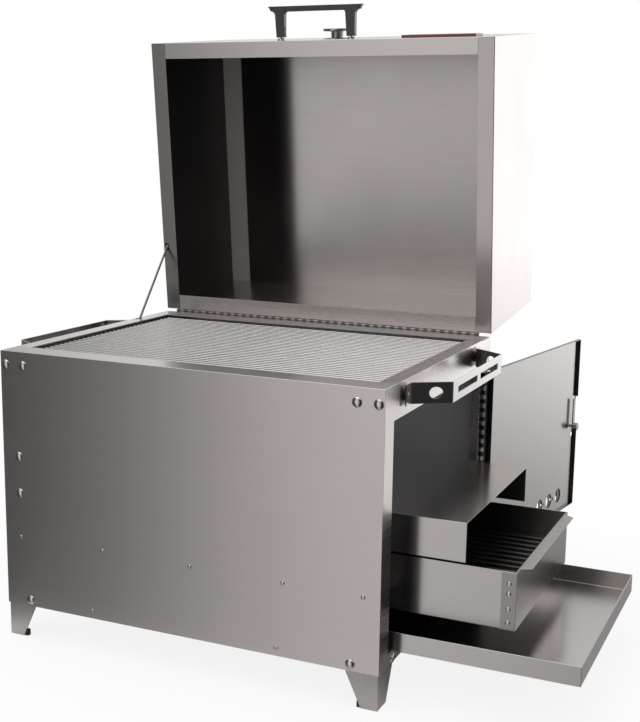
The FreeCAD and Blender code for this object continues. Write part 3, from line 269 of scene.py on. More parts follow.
def brushed_steel(name, tone, rough, grain="x", contrast=0.10, bump=0.025, duller=None, metal=1.0,
                  stretch=0.85):
    """Brushed steel. grain is the axis of the brush lines and duller a function that makes a mask of matt
    steel. stretch is how much more the steel blurs across the lines than along them."""
    made, build, shader = material_start(name)
    vector = place_vector(build, GRAIN_TURN[grain])
    brush = build.node("ShaderNodeGroup", node_tree=GRAIN)
    build.join(vector, brush.inputs["Vector"])
    light = tuple(min(1.0, c * (1 + contrast)) for c in tone) + (1,)
    dark = tuple(c * (1 - contrast) for c in tone) + (1,)
    colour = build.mix_colour(brush.outputs["Streak"], dark, light)
    build.join(colour, shader.inputs["Base Color"])
    spread = build.math("ADD", build.math("MULTIPLY", brush.outputs["Streak"], 0.06),
                        build.math("MULTIPLY", brush.outputs["Smudge"], 0.06))
    level = build.math("ADD", spread, rough - 0.06)
    shader.inputs["Metallic"].default_value = metal
    if duller:
        mask = duller(build)
        level = build.math("ADD", level, build.math("MULTIPLY", mask, DULLER_ROUGH))
        less = build.math("MULTIPLY", mask, DULLER_METAL)
        build.join(build.math("SUBTRACT", metal, less), shader.inputs["Metallic"])
    build.join(level, shader.inputs["Roughness"])
    shader.inputs["Anisotropic"].default_value = stretch
    across = build.node("ShaderNodeCombineXYZ")
    for axis, part in enumerate(BLUR_WAY[grain]):
        across.inputs[axis].default_value = part
    build.join(across.outputs[0], shader.inputs["Tangent"])
    relief = build.node("ShaderNodeBump")
    relief.inputs["Strength"].default_value = bump
    relief.inputs["Distance"].default_value = 0.0004
    build.join(brush.outputs["Height"], relief.inputs["Height"])
    build.join(relief.outputs["Normal"], shader.inputs["Normal"])
    return made


def bright_metal(name, tone, rough, wear=0.12):
    """Polished or plated metal with faint wear."""
    made, build, shader = material_start(name)
    vector = place_vector(build)
    cloud = build.noise(vector, 60.0, 3.0)
    dark = tuple(c * (1 - wear * 2) for c in tone) + (1,)
    build.join(build.mix_colour(cloud, dark, tone + (1,)), shader.inputs["Base Color"])
    build.join(build.math("ADD", build.math("MULTIPLY", cloud, wear), rough), shader.inputs["Roughness"])
    shader.inputs["Metallic"].default_value = 1.0
    return made


def hinge_steel(name, pin, across, knuckle, tone, leaf_tone):
    """Rolled hinge steel: brighter knuckles within a radius of the pin in millimetres, and leaves in
    leaf_tone, a painted shade. across is 0 along the pin and 1 across it."""
    made, build, shader = material_start(name)
    vector = place_vector(build)
    low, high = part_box(pin)
    offset = build.node("ShaderNodeVectorMath", operation="SUBTRACT")
    build.join(vector, offset.inputs[0])
    offset.inputs[1].default_value = (low + high) / 2
    flat = build.node("ShaderNodeVectorMath", operation="MULTIPLY")
    build.join(offset.outputs[0], flat.inputs[0])
    flat.inputs[1].default_value = across
    distance = build.node("ShaderNodeVectorMath", operation="LENGTH")
    build.join(flat.outputs[0], distance.inputs[0])
    leaf = build.rise(distance.outputs["Value"], knuckle * MM, (knuckle + 0.5) * MM)
    cloud = build.noise(vector, 60.0, 3.0)
    knuckle_colour = build.mix_colour(cloud, tuple(c * 0.85 for c in tone) + (1,), tone + (1,))
    # The leaves take leaf_tone, a painted shade
    build.join(build.mix_colour(leaf, knuckle_colour, leaf_tone + (1,)), shader.inputs["Base Color"])
    build.join(build.math("ADD", build.math("MULTIPLY", cloud, 0.15), 0.18), shader.inputs["Roughness"])
    shader.inputs["Metallic"].default_value = 1.0
    return made


def plain_solid(name, tone, rough, speckle=0.25, scale=900.0, bump=0.1, coat=0.0):
    """Moulded plastic, rubber or enamel: a fine speckle in colour, roughness and height."""
    made, build, shader = material_start(name)
    vector = place_vector(build)
    fine = build.noise(vector, scale, 3.0)
    broad = build.noise(vector, 25.0, 2.0)
    mixed = build.math("ADD", build.math("MULTIPLY", fine, 0.5), build.math("MULTIPLY", broad, 0.5))
    low = tuple(c * (1 - speckle) for c in tone) + (1,)
    high = tuple(min(1.0, c * (1 + speckle)) for c in tone) + (1,)
    build.join(build.mix_colour(mixed, low, high), shader.inputs["Base Color"])
    build.join(build.math("ADD", build.math("MULTIPLY", mixed, 0.2), rough - 0.1), shader.inputs["Roughness"])
    shader.inputs["Coat Weight"].default_value = coat
    relief = build.node("ShaderNodeBump")
    relief.inputs["Strength"].default_value = bump
    relief.inputs["Distance"].default_value = 0.0003
    build.join(fine, relief.inputs["Height"])
    build.join(relief.outputs["Normal"], shader.inputs["Normal"])
    return made


def clear_glass(name):
    """Clear glass with faint smears."""
    made, build, shader = material_start(name)
    vector = place_vector(build)
    smear = build.noise(vector, 40.0, 2.0)
    build.join(build.math("ADD", build.math("MULTIPLY", smear, 0.04), 0.02), shader.inputs["Roughness"])
    shader.inputs["Base Color"].default_value = (0.95, 0.97, 0.97, 1)
    shader.inputs["Transmission Weight"].default_value = 1.0
    shader.inputs["IOR"].default_value = 1.45
    return made


PANEL_TONE = (0.50, 0.465, 0.45)
# Painted shade: the lid's left wall, a mirror of the right one, gets half its tone
SHADED_LEFT_TONE = (0.25, 0.235, 0.225)
INNER_TONE = (0.42, 0.40, 0.385)
# Painted shade: the inner faces of the lid are darker than its outer faces
LINING_TONE = (0.41, 0.385, 0.37)
# Painted light: the lid's rear wall inside, which faces up in the open lid, is much lighter
PAINTED_LIGHT_REAR_TONE = (0.80, 0.76, 0.74)
# Painted shade: the inner faces of the lid's end walls are near-black
SHADED_END_TONE = (0.13, 0.125, 0.12)
BODY_LINING_TONE = (0.40, 0.41, 0.43)
DRAWER_TONE = (0.44, 0.415, 0.40)
DOOR_TONE = (0.51, 0.485, 0.47)
DOOR_KNUCKLE_TONE = (0.55, 0.54, 0.53)
LID_KNUCKLE_TONE = (0.30, 0.28, 0.27)
SHADED_TONE = (0.04, 0.039, 0.038)
# The radius within which a hinge is knuckle and not leaf, in millimetres
DOOR_KNUCKLE = 2.8
LID_KNUCKLE = 2.3

MATERIALS = {
    "panel_x": brushed_steel("panel_brushed_long", PANEL_TONE, 0.30, "x"),
    "panel_y": brushed_steel("panel_brushed_across", PANEL_TONE, 0.28, "y"),
    "leg": brushed_steel("leg_brushed", PANEL_TONE, 0.28, "z"),
    "lid": brushed_steel("lid_brushed", PANEL_TONE, 0.28, "x", 0.12),
    "lid_left": brushed_steel("lid_left_brushed", SHADED_LEFT_TONE, 0.26, "z", 0.12, stretch=0.6),
    "lid_right": brushed_steel("lid_right_brushed", PANEL_TONE, 0.26, "z", 0.12, stretch=0.6),
    "lid_inside": brushed_steel("lid_lining_painted_shade", LINING_TONE, 0.22, "x", 0.12, duller=lid_strip, stretch=0.95),
    "lid_rear_inside": brushed_steel("lid_rear_painted_light", PAINTED_LIGHT_REAR_TONE, 0.22, "x", 0.08),
    "lid_end_inside": brushed_steel("lid_end_painted_shade", SHADED_END_TONE, 0.30, "z", 0.12),
    "body_inside": brushed_steel("body_lining", BODY_LINING_TONE, 0.40, "x", metal=0.5),
    "rail": brushed_steel("rail_steel", INNER_TONE, 0.36, "x"),
    "drawer": brushed_steel("drawer_steel", DRAWER_TONE, 0.22, "x"),
    "end_panel": brushed_steel("end_panel_steel", DRAWER_TONE, 0.28, "z", 0.14),
    "door": brushed_steel("door_steel", DOOR_TONE, 0.20, "y"),
    # Painted shade on the door's turned edges
    "door_rim": brushed_steel("door_rim_steel", (0.07, 0.068, 0.066), 0.30, "z"),
    # Painted shade: the vent slider is darkened so that the vent holes look dark
    "slider": brushed_steel("slider_steel", (0.12, 0.115, 0.11), 0.40, "y"),
    "handle": brushed_steel("handle_steel", (0.38, 0.365, 0.355), 0.22, "y"),
    "hinge": bright_metal("hinge_steel", (0.42, 0.41, 0.40), 0.22),
    "hinge_shaded": bright_metal("hinge_shaded", SHADED_TONE, 0.30),
    # Painted shade: the body leaf of the lid hinge is darker than the lid leaf of the same steel
    "body_leaf": bright_metal("lid_body_leaf_painted_shade", (0.12, 0.115, 0.11), 0.30),
    # Hinge leaves in the near-black SHADED_TONE are painted shade; the knuckles are brighter
    "door_knuckles": hinge_steel("door_knuckles", "door_hinge_pin", (1, 1, 0), DOOR_KNUCKLE,
                                 DOOR_KNUCKLE_TONE, SHADED_TONE),
    "lid_knuckles": hinge_steel("lid_knuckles", "lid_hinge_pin", (0, 1, 1), LID_KNUCKLE,
                                LID_KNUCKLE_TONE, SHADED_TONE),
    "chrome": bright_metal("bolt_chrome", (0.62, 0.60, 0.58), 0.08),
    "wire": bright_metal("plated_wire", (0.41, 0.40, 0.385), 0.20),
    # Painted shade: the charcoal grate's wire is darkened for the shade inside the firebox
    "coal_wire": bright_metal("charcoal_wire", (0.10, 0.098, 0.095), 0.32),
    "stay": bright_metal("stay_wire", (0.16, 0.155, 0.15), 0.28),
    "phenolic": plain_solid("black_phenolic", (0.012, 0.012, 0.013), 0.32, coat=0.3),
    "rubber": plain_solid("foot_rubber", (0.012, 0.012, 0.012), 0.75, bump=0.3),
    "enamel": plain_solid("plate_enamel", (0.13, 0.028, 0.018), 0.35, coat=0.4),
    "dial": plain_solid("dial_enamel", (0.80, 0.79, 0.75), 0.5, 0.04),
    "ink": plain_solid("dial_ink", (0.02, 0.02, 0.02), 0.5),
    "gauge": bright_metal("gauge_steel", (0.52, 0.51, 0.50), 0.20),
    "glass": clear_glass("gauge_glass"),
}


FINISH = {
    "front_panel": "panel_x", "rear_panel": "panel_x", "left_side_panel": "panel_y",
    "right_side_frame": "panel_y", "leg_front_left": "leg", "leg_front_right": "leg",
    "leg_rear_left": "leg", "leg_rear_right": "leg", "rubber_feet": "rubber",
    "carriage_bolts": "chrome", "hex_nuts": "chrome", "rail_rivets": "chrome",
    "left_grate_rail": "panel_y", "right_grate_rail": "panel_y", "cooking_grate": "wire",
    "front_firebox_rail": "rail", "rear_firebox_rail": "rail", "front_ash_rail": "rail",
    "rear_ash_rail": "rail", "drawer_stops": "rail", "firebox_pan": "drawer",
    "firebox_end_panel": "end_panel", "firebox_rivets": "chrome", "charcoal_grate": "coal_wire",
    "heat_deflector": "drawer", "ash_pan": "drawer", "lid_wrapper": "lid",
    "lid_left_wall": "lid_left", "lid_right_wall": "lid_right", "lid_hinge_body_leaf": "body_leaf",
    "lid_hinge_lid_leaf": "lid_knuckles", "lid_hinge_pin": "chrome", "lid_handle": "phenolic",
    "handle_ferrules": "chrome", "handle_screws": "chrome", "thermometer_case": "gauge",
    "thermometer_dial": "dial", "thermometer_pointer": "ink", "thermometer_lens": "glass",
    "thermometer_probe": "gauge", "thermometer_nut": "chrome", "name_plate": "enamel",
    "lid_stay": "stay", "door_pan": "door", "vent_slider": "slider", "vent_studs": "chrome",
    "latch_bar": "hinge", "latch_spindle": "chrome", "latch_knob": "phenolic", "latch_nut": "chrome",
    "door_hinge_frame_leaf": "hinge_shaded", "door_hinge_door_leaf": "door_knuckles",
    "door_hinge_pin": "chrome", "right_handle": "handle", "left_handle": "handle",
    "handle_spacers": "phenolic", "handle_rivets": "chrome",
}


def coat(piece, finish):
    piece.data.materials.clear()
    piece.data.materials.append(MATERIALS[finish])


for node, piece in NODES.items():
    coat(piece, FINISH[node])


# Modelling helpers
def deselect():
    bpy.ops.object.select_all(action="DESELECT")


def take(piece):
    """Makes a piece the only selected and the active one."""
    deselect()
    piece.select_set(True)
    bpy.context.view_layer.objects.active = piece


def apply_modifier(piece, kind, **settings):
    take(piece)
    added = piece.modifiers.new(kind.lower(), kind)
    for word, item in settings.items():
        setattr(added, word, item)
    bpy.ops.object.modifier_apply(modifier=added.name)


def even_normals(piece, degrees):
    """Smooth shading up to an angle that leaves the broad faces flat."""
    take(piece)
    bpy.ops.object.shade_smooth_by_angle(angle=math.radians(degrees))
    apply_modifier(piece, "WEIGHTED_NORMAL", weight=100, keep_sharp=True)


def mark_bends(piece, narrow):
    """Selects the sharp edges between two broad faces: the folds of a sheet, and not its cut edges."""
    bpy.ops.object.mode_set(mode="EDIT")
    mesh = bmesh.from_edit_mesh(piece.data)
    for item in list(mesh.verts) + list(mesh.edges) + list(mesh.faces):
        item.select = False
    found = 0
    for edge in mesh.edges:
        if len(edge.link_faces) != 2 or edge.calc_face_angle(0) < math.radians(30):
            continue
        length = edge.calc_length()
        if length > FOLD_LENGTH and all(face.calc_area() / length > narrow for face in edge.link_faces):
            edge.select = True
            found += 1
    bmesh.update_edit_mesh(piece.data)
    return found


FOLD_LENGTH = 20 * MM
NARROW_FACE = 3 * MM
EASED_WIDTH = 0.4 * MM
SMOOTH_ANGLE = 40


def eased(node, bend):
    """The CAD piece with its folds rounded to a bend in millimetres and its sharp edges eased, standing in
    for it."""
    source = NODES[node]
    piece = source.copy()
    piece.data = source.data.copy()
    piece.name = node + "_eased"
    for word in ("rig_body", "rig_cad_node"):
        if word in piece:
            del piece[word]
    bpy.context.scene.collection.objects.link(piece)
    piece.parent = None
    take(piece)
    bpy.ops.object.mode_set(mode="EDIT")
    bpy.ops.mesh.select_all(action="SELECT")
    bpy.ops.mesh.customdata_custom_splitnormals_clear()
    bpy.ops.mesh.remove_doubles(threshold=0.00001)
    bpy.ops.mesh.dissolve_limited(angle_limit=math.radians(0.5))
    bpy.ops.mesh.normals_make_consistent(inside=False)
    bpy.ops.mesh.select_mode(type="EDGE")
    if bend and mark_bends(piece, NARROW_FACE):
        bpy.ops.mesh.bevel(offset=bend * MM, segments=4, affect="EDGES", clamp_overlap=True)
    bpy.ops.object.mode_set(mode="OBJECT")
    apply_modifier(piece, "BEVEL", width=EASED_WIDTH, segments=2, limit_method="ANGLE",
                   angle_limit=math.radians(SMOOTH_ANGLE), use_clamp_overlap=True)
    even_normals(piece, SMOOTH_ANGLE)
    finish(piece, node)
    return piece


def finish(piece, node, replace=True, look=None):
    """Gives a piece its finish and its body, and hides the CAD piece that it stands for if replace is set."""
    coat(piece, look or FINISH[node])
    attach(piece, BODY_OF[node])
    if replace:
        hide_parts(node)
    return piece


EASED = ("front_panel", "rear_panel", "left_side_panel", "right_side_frame", "leg_front_left",
         "leg_front_right", "leg_rear_left", "leg_rear_right", "heat_deflector", "ash_pan",
         "firebox_pan", "firebox_end_panel", "lid_wrapper", "lid_left_wall", "lid_right_wall",
         "door_pan", "right_handle", "left_handle", "left_grate_rail", "right_grate_rail",
         "front_firebox_rail", "rear_firebox_rail", "front_ash_rail", "rear_ash_rail", "drawer_stops",
         "rubber_feet", "hex_nuts", "vent_slider", "latch_bar", "latch_nut", "thermometer_nut",
         "handle_spacers", "handle_rivets")
FOLDED = {"front_panel": 1.6, "rear_panel": 1.6, "left_side_panel": 1.2, "right_side_frame": 3.0,
          "leg_front_left": 1.2, "leg_front_right": 1.2, "leg_rear_left": 1.2, "leg_rear_right": 1.2,
          "heat_deflector": 1.6, "ash_pan": 1.4, "firebox_pan": 1.2, "lid_wrapper": 1.6,
          "lid_left_wall": 1.6, "lid_right_wall": 1.6, "door_pan": 1.4, "right_handle": 1.2,
          "left_handle": 1.2, "firebox_end_panel": 1.2}
# Points inside the lid and the body, by which inner faces are told from outer ones
LID_MIDDLE = lid_place(0, 134, LID_FACE / 2)
BODY_MIDDLE = at(0, 0, 260)
LINED = {"lid_wrapper": ("lid_inside", LID_MIDDLE), "lid_left_wall": ("lid_end_inside", LID_MIDDLE),
         "lid_right_wall": ("lid_end_inside", LID_MIDDLE), "front_panel": ("body_inside", BODY_MIDDLE),
         "rear_panel": ("body_inside", BODY_MIDDLE), "left_side_panel": ("body_inside", BODY_MIDDLE)}
# The least share of a face's normal along a direction that the face looks to
FACING = 0.7


def line_inside(piece, lining, middle):
    """Gives the faces that look towards the middle of the lid or the body their inner finish. In the lid this
    is painted shade: a darker tone inside than outside.
    """
    piece.data.materials.append(MATERIALS[lining])
    for face in piece.data.polygons:
        if face.normal.dot(middle - face.center) > 0:
            face.material_index = 1


def paint_rear_light(piece):
    """Gives the inner face of the lid's rear wall, lowest in the open lid, a painted light: a much lighter
    tone than the rest of the lining.
    """
    piece.data.materials.append(MATERIALS["lid_rear_inside"])
    for face in piece.data.polygons:
        if face.material_index == 1 and face.normal.dot(lid_way(0, 0, 1)) > FACING:
            face.material_index = 2


def paint_rim_shade(piece):
    """Gives the turned edges of the door, which face along it, a painted shade: a near-black copy of the door
    steel.
    """
    piece.data.materials.append(MATERIALS["door_rim"])
    broad = max(piece.data.polygons, key=lambda face: face.area).normal.copy()
    for face in piece.data.polygons:
        if abs(face.normal.dot(broad)) < FACING:
            face.material_index = 1


for node in EASED:
    piece = eased(node, FOLDED.get(node, 0.0))
    if node in LINED:
        line_inside(piece, *LINED[node])
    if node == "lid_wrapper":
        paint_rear_light(piece)
    if node == "door_pan":
        paint_rim_shade(piece)


# Turned and repeated pieces
def lathe(name, rings, place, way, sides=32):
    """A turned piece: rings are radius and height in millimetres along the direction way from place."""
    deselect()
    first_radius, first_height = rings[0]
    bpy.ops.mesh.primitive_circle_add(vertices=sides, radius=first_radius * MM, fill_type="NGON",
                                      location=(0, 0, first_height * MM))
    piece = bpy.context.active_object
    piece.name = name
    bpy.ops.object.transform_apply(location=True, rotation=True, scale=True)
    bpy.ops.object.mode_set(mode="EDIT")
    bpy.ops.mesh.select_mode(type="FACE")
    bpy.ops.mesh.select_all(action="SELECT")
    radius, height = first_radius, first_height
    for next_radius, next_height in rings[1:]:
        rise = (next_height - height) * MM
        bpy.ops.mesh.extrude_region_move(TRANSFORM_OT_translate={"value": (0, 0, rise)})
        factor = next_radius / radius
        bpy.ops.transform.resize(value=(factor, factor, 1), center_override=(0, 0, next_height * MM))
        radius, height = next_radius, next_height
    bpy.ops.mesh.select_all(action="SELECT")
    bpy.ops.mesh.normals_make_consistent(inside=False)
    bpy.ops.object.mode_set(mode="OBJECT")
    bpy.ops.object.shade_smooth_by_angle(angle=math.radians(SMOOTH_ANGLE))
    turn = Vector(way).to_track_quat("Z", "Y").to_matrix().to_4x4()
    piece.data.transform(Matrix.Translation(place) @ turn)
    return piece


def copies(piece, moves):
    """Copies of a piece, each with its own mesh moved by a matrix in the row frame."""
    made = []
    for number, move in enumerate(moves):
        twin = piece.copy()
        twin.data = piece.data.copy()
        twin.name = "%s_%02d" % (piece.name, number + 1)
        twin.data.transform(move)
        bpy.context.scene.collection.objects.link(twin)
        made.append(twin)
    bpy.data.objects.remove(piece)
    return made


def loose_parts(node):
    """The lowest and highest corner of each separate solid of a CAD node."""
    mesh = bmesh.new()
    mesh.from_mesh(NODES[node].data)
    bmesh.ops.remove_doubles(mesh, verts=mesh.verts, dist=0.00001)
    left = set(mesh.verts)
    found = []
    while left:
        front = [left.pop()]
        members = list(front)
        while front:
            for edge in front.pop().link_edges:
                for vertex in edge.verts:
                    if vertex in left:
                        left.remove(vertex)
                        front.append(vertex)
                        members.append(vertex)
        low = Vector(min(v.co[i] for v in members) for i in range(3))
        high = Vector(max(v.co[i] for v in members) for i in range(3))
        found.append((low, high))
    mesh.free()
    return sorted(found, key=lambda pair: tuple(round(c, 4) for c in pair[0]))


def outward(low, high, centre):
    """The way that a fastener points, out from the body, and the middle of its outer end. Its axis is the
    level one along which it isn't as long as it is high."""
    middle = (low + high) / 2
    size = high - low
    across = 0 if abs(size.x - size.z) > abs(size.y - size.z) else 1
    sign = 1 if middle[across] > centre[across] else -1
    way = Vector((0, 0, 0))
    way[across] = sign
    end = middle.copy()
    end[across] = high[across] if sign > 0 else low[across]
    return way, end


def fasteners(node, name, rings, sides=24):
    """One turned fastener for each solid of a CAD node. Its outer end is at the ring height 0."""
    pattern = lathe(name, rings, Vector((0, 0, 0)), (0, 0, 1), sides)
    moves = []
    for low, high in loose_parts(node):
        way, end = outward(low, high, MIDDLE)
        moves.append(Matrix.Translation(end) @ way.to_track_quat("Z", "Y").to_matrix().to_4x4())
    for twin in copies(pattern, moves):
        finish(twin, node)


# Heights run outwards, so the shank has the lowest ones and the head ends at 0
CARRIAGE_BOLT = ((2.4, -13), (2.9, -12.5), (2.9, -3.1), (7.3, -3.0), (7.5, -2.7), (7.35, -2.2), (6.7, -1.45),
                 (5.6, -0.85), (4.2, -0.4), (2.6, -0.12), (1.0, 0.0))
POP_RIVET = ((1.6, -5.4), (1.7, -1.6), (3.55, -1.55), (3.6, -1.2), (3.3, -0.65), (2.6, -0.2), (1.8, 0.0),
             (1.25, -0.05), (1.05, -0.7), (0.6, -0.75))
END_RIVET = ((1.6, -4.8), (1.7, -1.25), (3.55, -1.2), (3.6, -0.9), (3.2, -0.45), (2.4, -0.1), (1.7, 0.0),
             (1.25, -0.05), (1.05, -0.6), (0.6, -0.65))

fasteners("carriage_bolts", "carriage_bolt", CARRIAGE_BOLT)
fasteners("rail_rivets", "rail_rivet", POP_RIVET, 18)
fasteners("firebox_rivets", "firebox_rivet", END_RIVET, 18)


def edit(piece):
    """Opens a piece for editing with nothing selected."""
    take(piece)
    bpy.ops.object.mode_set(mode="EDIT")
    bpy.ops.mesh.select_mode(type="FACE")
    bpy.ops.mesh.select_all(action="DESELECT")


def pick(piece, kind, test):
    """Selects the faces, edges or vertices that a test accepts. A test gets an item's middle in millimetres
    and its normal, or the direction of an edge."""
    mesh = bmesh.from_edit_mesh(piece.data)
    for vertex in mesh.verts:
        vertex.select = False
    mesh.select_flush(False)
    for item in getattr(mesh, kind):
        if kind == "faces":
            middle, normal = item.calc_center_median() / MM, item.normal
        elif kind == "edges":
            middle = (item.verts[0].co + item.verts[1].co) / 2 / MM
            normal = (item.verts[1].co - item.verts[0].co).normalized()
        else:
            middle, normal = item.co / MM, item.normal
        if test(middle, normal):
            item.select_set(True)
    mesh.select_flush(True)
    bmesh.update_edit_mesh(piece.data)


def box_piece(name, low, high):
    """A block between two corners in millimetres, with its place in its mesh."""
    deselect()
    low, high = Vector(low), Vector(high)
    bpy.ops.mesh.primitive_cube_add(size=MM, location=(low + high) / 2 * MM)
    piece = bpy.context.active_object
    piece.name = name
    piece.scale = high - low
    bpy.ops.object.transform_apply(location=True, rotation=True, scale=True)
    return piece


def cut_across(piece, axis, places):
    """Cuts a piece with planes across one axis."""
    normal = [0, 0, 0]
    normal[axis] = 1
    for place in places:
        point = [0, 0, 0]
        point[axis] = place * MM
        bpy.ops.mesh.select_all(action="SELECT")
        bpy.ops.mesh.bisect(plane_co=point, plane_no=normal)


GRIP_HALF = 88
GRIP_TOP = LID_FACE + 57.5
GRIP_LOW = GRIP_TOP - 9.5
GRIP_AHEAD = 9.6
GRIP_BACK = 20.4
POST_AT = 66
POST_HALF = 9
POST_FOOT_HALF = 7.2
POST_END = LID_FACE + 5.2
POST_FILLET = 5
GRIP_SLANT = 6
GRIP_LIFT = 1.5
GRIP_MIDDLE = (GRIP_AHEAD + GRIP_BACK) / 2


def lid_handle():
    """Moulded handle: a flat grip with slanted ends on two tapered posts, filleted where they meet."""
    piece = box_piece("lid_handle_moulded", (-GRIP_HALF, GRIP_AHEAD, GRIP_LOW),
                      (GRIP_HALF, GRIP_BACK, GRIP_TOP))
    edit(piece)
    cut_across(piece, 0, [side * (POST_AT + part) for side in (-1, 1) for part in (-POST_HALF, POST_HALF)])
    for side in (-1, 1):
        pick(piece, "edges",
             lambda m, n: m.x * side > GRIP_HALF - 0.1 and abs(n.y) > 0.9 and m.z < GRIP_LOW + 0.1)
        bpy.ops.transform.translate(value=(-side * GRIP_SLANT * MM, 0, GRIP_LIFT * MM))
    for side in (-1, 1):
        pick(piece, "faces", lambda m, n: abs(m.x - side * POST_AT) < POST_HALF and n.z < -0.9)
        drop = (POST_END - GRIP_LOW) * MM
        bpy.ops.mesh.extrude_region_move(TRANSFORM_OT_translate={"value": (0, 0, drop)})
        bpy.ops.transform.resize(value=(POST_FOOT_HALF / POST_HALF, 1, 1),
                                 center_override=(side * POST_AT * MM, 0, POST_END * MM))
    pick(piece, "edges",
         lambda m, n: (abs(m.z - GRIP_LOW) < 0.1 and abs(n.y) > 0.9
                       and abs(abs(m.x) - POST_AT) < POST_HALF + 0.1))
    bpy.ops.mesh.bevel(offset=POST_FILLET * MM, segments=4, affect="EDGES", clamp_overlap=True)
    bpy.ops.object.mode_set(mode="OBJECT")
    apply_modifier(piece, "BEVEL", width=2.0 * MM, segments=3, limit_method="ANGLE",
                   angle_limit=math.radians(50), use_clamp_overlap=True)
    even_normals(piece, 50)
    piece.data.transform(LID_FRAME)
    finish(piece, "lid_handle")


def handle_feet():
    """Stepped steel ferrules under the posts."""
    rings = ((7.6, 0), (7.6, 1.2), (7.2, 1.7), (6.2, 1.9), (6.2, 3.6), (5.6, 4.0))
    for side in (-1, 1):
        piece = lathe("handle_ferrule_turned_%s" % ("left" if side < 0 else "right"), rings,
                      lid_place(side * POST_AT, GRIP_MIDDLE, LID_FACE), lid_way(0, 0, 1))
        finish(piece, "handle_ferrules")


GAUGE_AT = 108
MARKS = 25
MARKS_START = 135
MARKS_SWEEP = 270


def thermometer():
    """Case with a rolled bezel, a domed glass, and a dial with graduation lines."""
    place = lid_place(0, GAUGE_AT, LID_FACE)
    way = lid_way(0, 0, 1)
    case = lathe("thermometer_case_turned", (
        (24.9, 0), (25, 0.4), (24.8, 1.1), (24, 1.5), (12.2, 1.6), (11, 2.2), (10.7, 11.6), (11.4, 12.6),
        (23.2, 13.1), (24.6, 13.8), (25, 15), (25, 16.9), (24.6, 17.7), (23.9, 18), (23.3, 17.7),
        (23.1, 16.9), (23.0, 15.0), (10, 14.9)), place, way, 64)
    finish(case, "thermometer_case")
    face = lathe("thermometer_dial_face", (
        (22.7, 15.1), (22.8, 15.2), (22.8, 15.45), (22.7, 15.5)), place, way, 64)
    finish(face, "thermometer_dial")
    lens = lathe("thermometer_lens_domed", (
        (22.8, 16.65), (22.85, 16.8), (22.7, 17.3), (18, 17.7), (11, 17.9), (4, 17.98)), place, way, 64)
    finish(lens, "thermometer_lens")
    marks = []
    for number in range(MARKS):
        half, inner = (0.35, 15.5) if number % 6 == 0 else (0.18, 17.5)
        mark = box_piece("dial_mark", (-half, inner, 15.5), (half, 20.5, 15.56))
        turn = MARKS_START - number * MARKS_SWEEP / (MARKS - 1)
        mark.data.transform(Matrix.Rotation(math.radians(turn), 4, "Z"))
        marks.append(mark)
    deselect()
    for mark in marks:
        mark.select_set(True)
    bpy.context.view_layer.objects.active = marks[0]
    bpy.ops.object.join()
    ticks = bpy.context.active_object
    ticks.name = "thermometer_graduation"
    ticks.data.transform(LID_FRAME @ Matrix.Translation(Vector((0, GAUGE_AT, LID_FACE)) * MM))
    finish(ticks, "thermometer_dial", replace=False, look="ink")


PLATE_LOW = (154.3, 20.3, LID_FACE)
PLATE_HIGH = (283.7, 59.7, LID_FACE + 5)


def plate():
    """Enamelled plate with a raised border and a bare field."""
    piece = box_piece("name_plate_bordered", PLATE_LOW, PLATE_HIGH)
    edit(piece)
    pick(piece, "faces", lambda m, n: n.z > 0.9)
    bpy.ops.mesh.inset(thickness=2.2 * MM)
    bpy.ops.mesh.inset(thickness=0.5 * MM, depth=-0.7 * MM)
    bpy.ops.object.mode_set(mode="OBJECT")
    apply_modifier(piece, "BEVEL", width=0.5 * MM, segments=3, limit_method="ANGLE",
                   angle_limit=math.radians(30), use_clamp_overlap=True)
    even_normals(piece, SMOOTH_ANGLE)
    piece.data.transform(LID_FRAME)
    finish(piece, "name_plate")


lid_handle()
handle_feet()
thermometer()
plate()


# Floor, lamp and world
def add_floor():
    """A pale floor that keeps the object's shadow and gives white to the camera. Steel mirrors it only near
    the body."""
    bpy.ops.mesh.primitive_plane_add(size=30, location=(0, 0, -0.0005))
    floor = bpy.context.active_object
    floor.name = "floor"
    made, build, shader = material_start("pale_floor")
    shader.inputs["Base Color"].default_value = (0.93, 0.93, 0.93, 1)
    shader.inputs["Roughness"].default_value = 1.0
    shader.inputs["Specular IOR Level"].default_value = 0.0
    path = build.node("ShaderNodeLightPath")
    glow = build.node("ShaderNodeEmission")
    glow.inputs["Strength"].default_value = 1.0
    clear = build.node("ShaderNodeBsdfTransparent")
    lit = build.node("ShaderNodeMixShader")
    seen = build.node("ShaderNodeMixShader")
    build.join(shader.outputs[0], lit.inputs[1])
    build.join(glow.outputs[0], lit.inputs[2])
    x, y, _ = build.axes(build.node("ShaderNodeTexCoord").outputs["Object"])
    low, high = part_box("left_side_panel")[0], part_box("firebox_pan")[1]
    across = build.math("ABSOLUTE", build.math("SUBTRACT", x, (low.x + high.x) / 2))
    along = build.math("ABSOLUTE", build.math("SUBTRACT", y, MIDDLE.y))
    beyond = build.math("MAXIMUM", build.math("SUBTRACT", across, (high.x - low.x) / 2),
                        build.math("SUBTRACT", along, MIDDLE.y - panel_low.y))
    away = build.rise(beyond, 0.0, FLOOR_EDGE)
    white = build.mix_value(build.rise(beyond, 0.0, SHADOW_EDGE), FLOOR_WHITENING, 1.0)
    build.join(build.math("MULTIPLY", path.outputs["Is Camera Ray"], white), lit.inputs[0])
    build.join(build.math("MULTIPLY", path.outputs["Is Glossy Ray"], away), seen.inputs[0])
    build.join(lit.outputs[0], seen.inputs[1])
    build.join(clear.outputs[0], seen.inputs[2])
    build.join(seen.outputs[0], made.node_tree.nodes["Material Output"].inputs["Surface"])
    floor.data.materials.append(made)


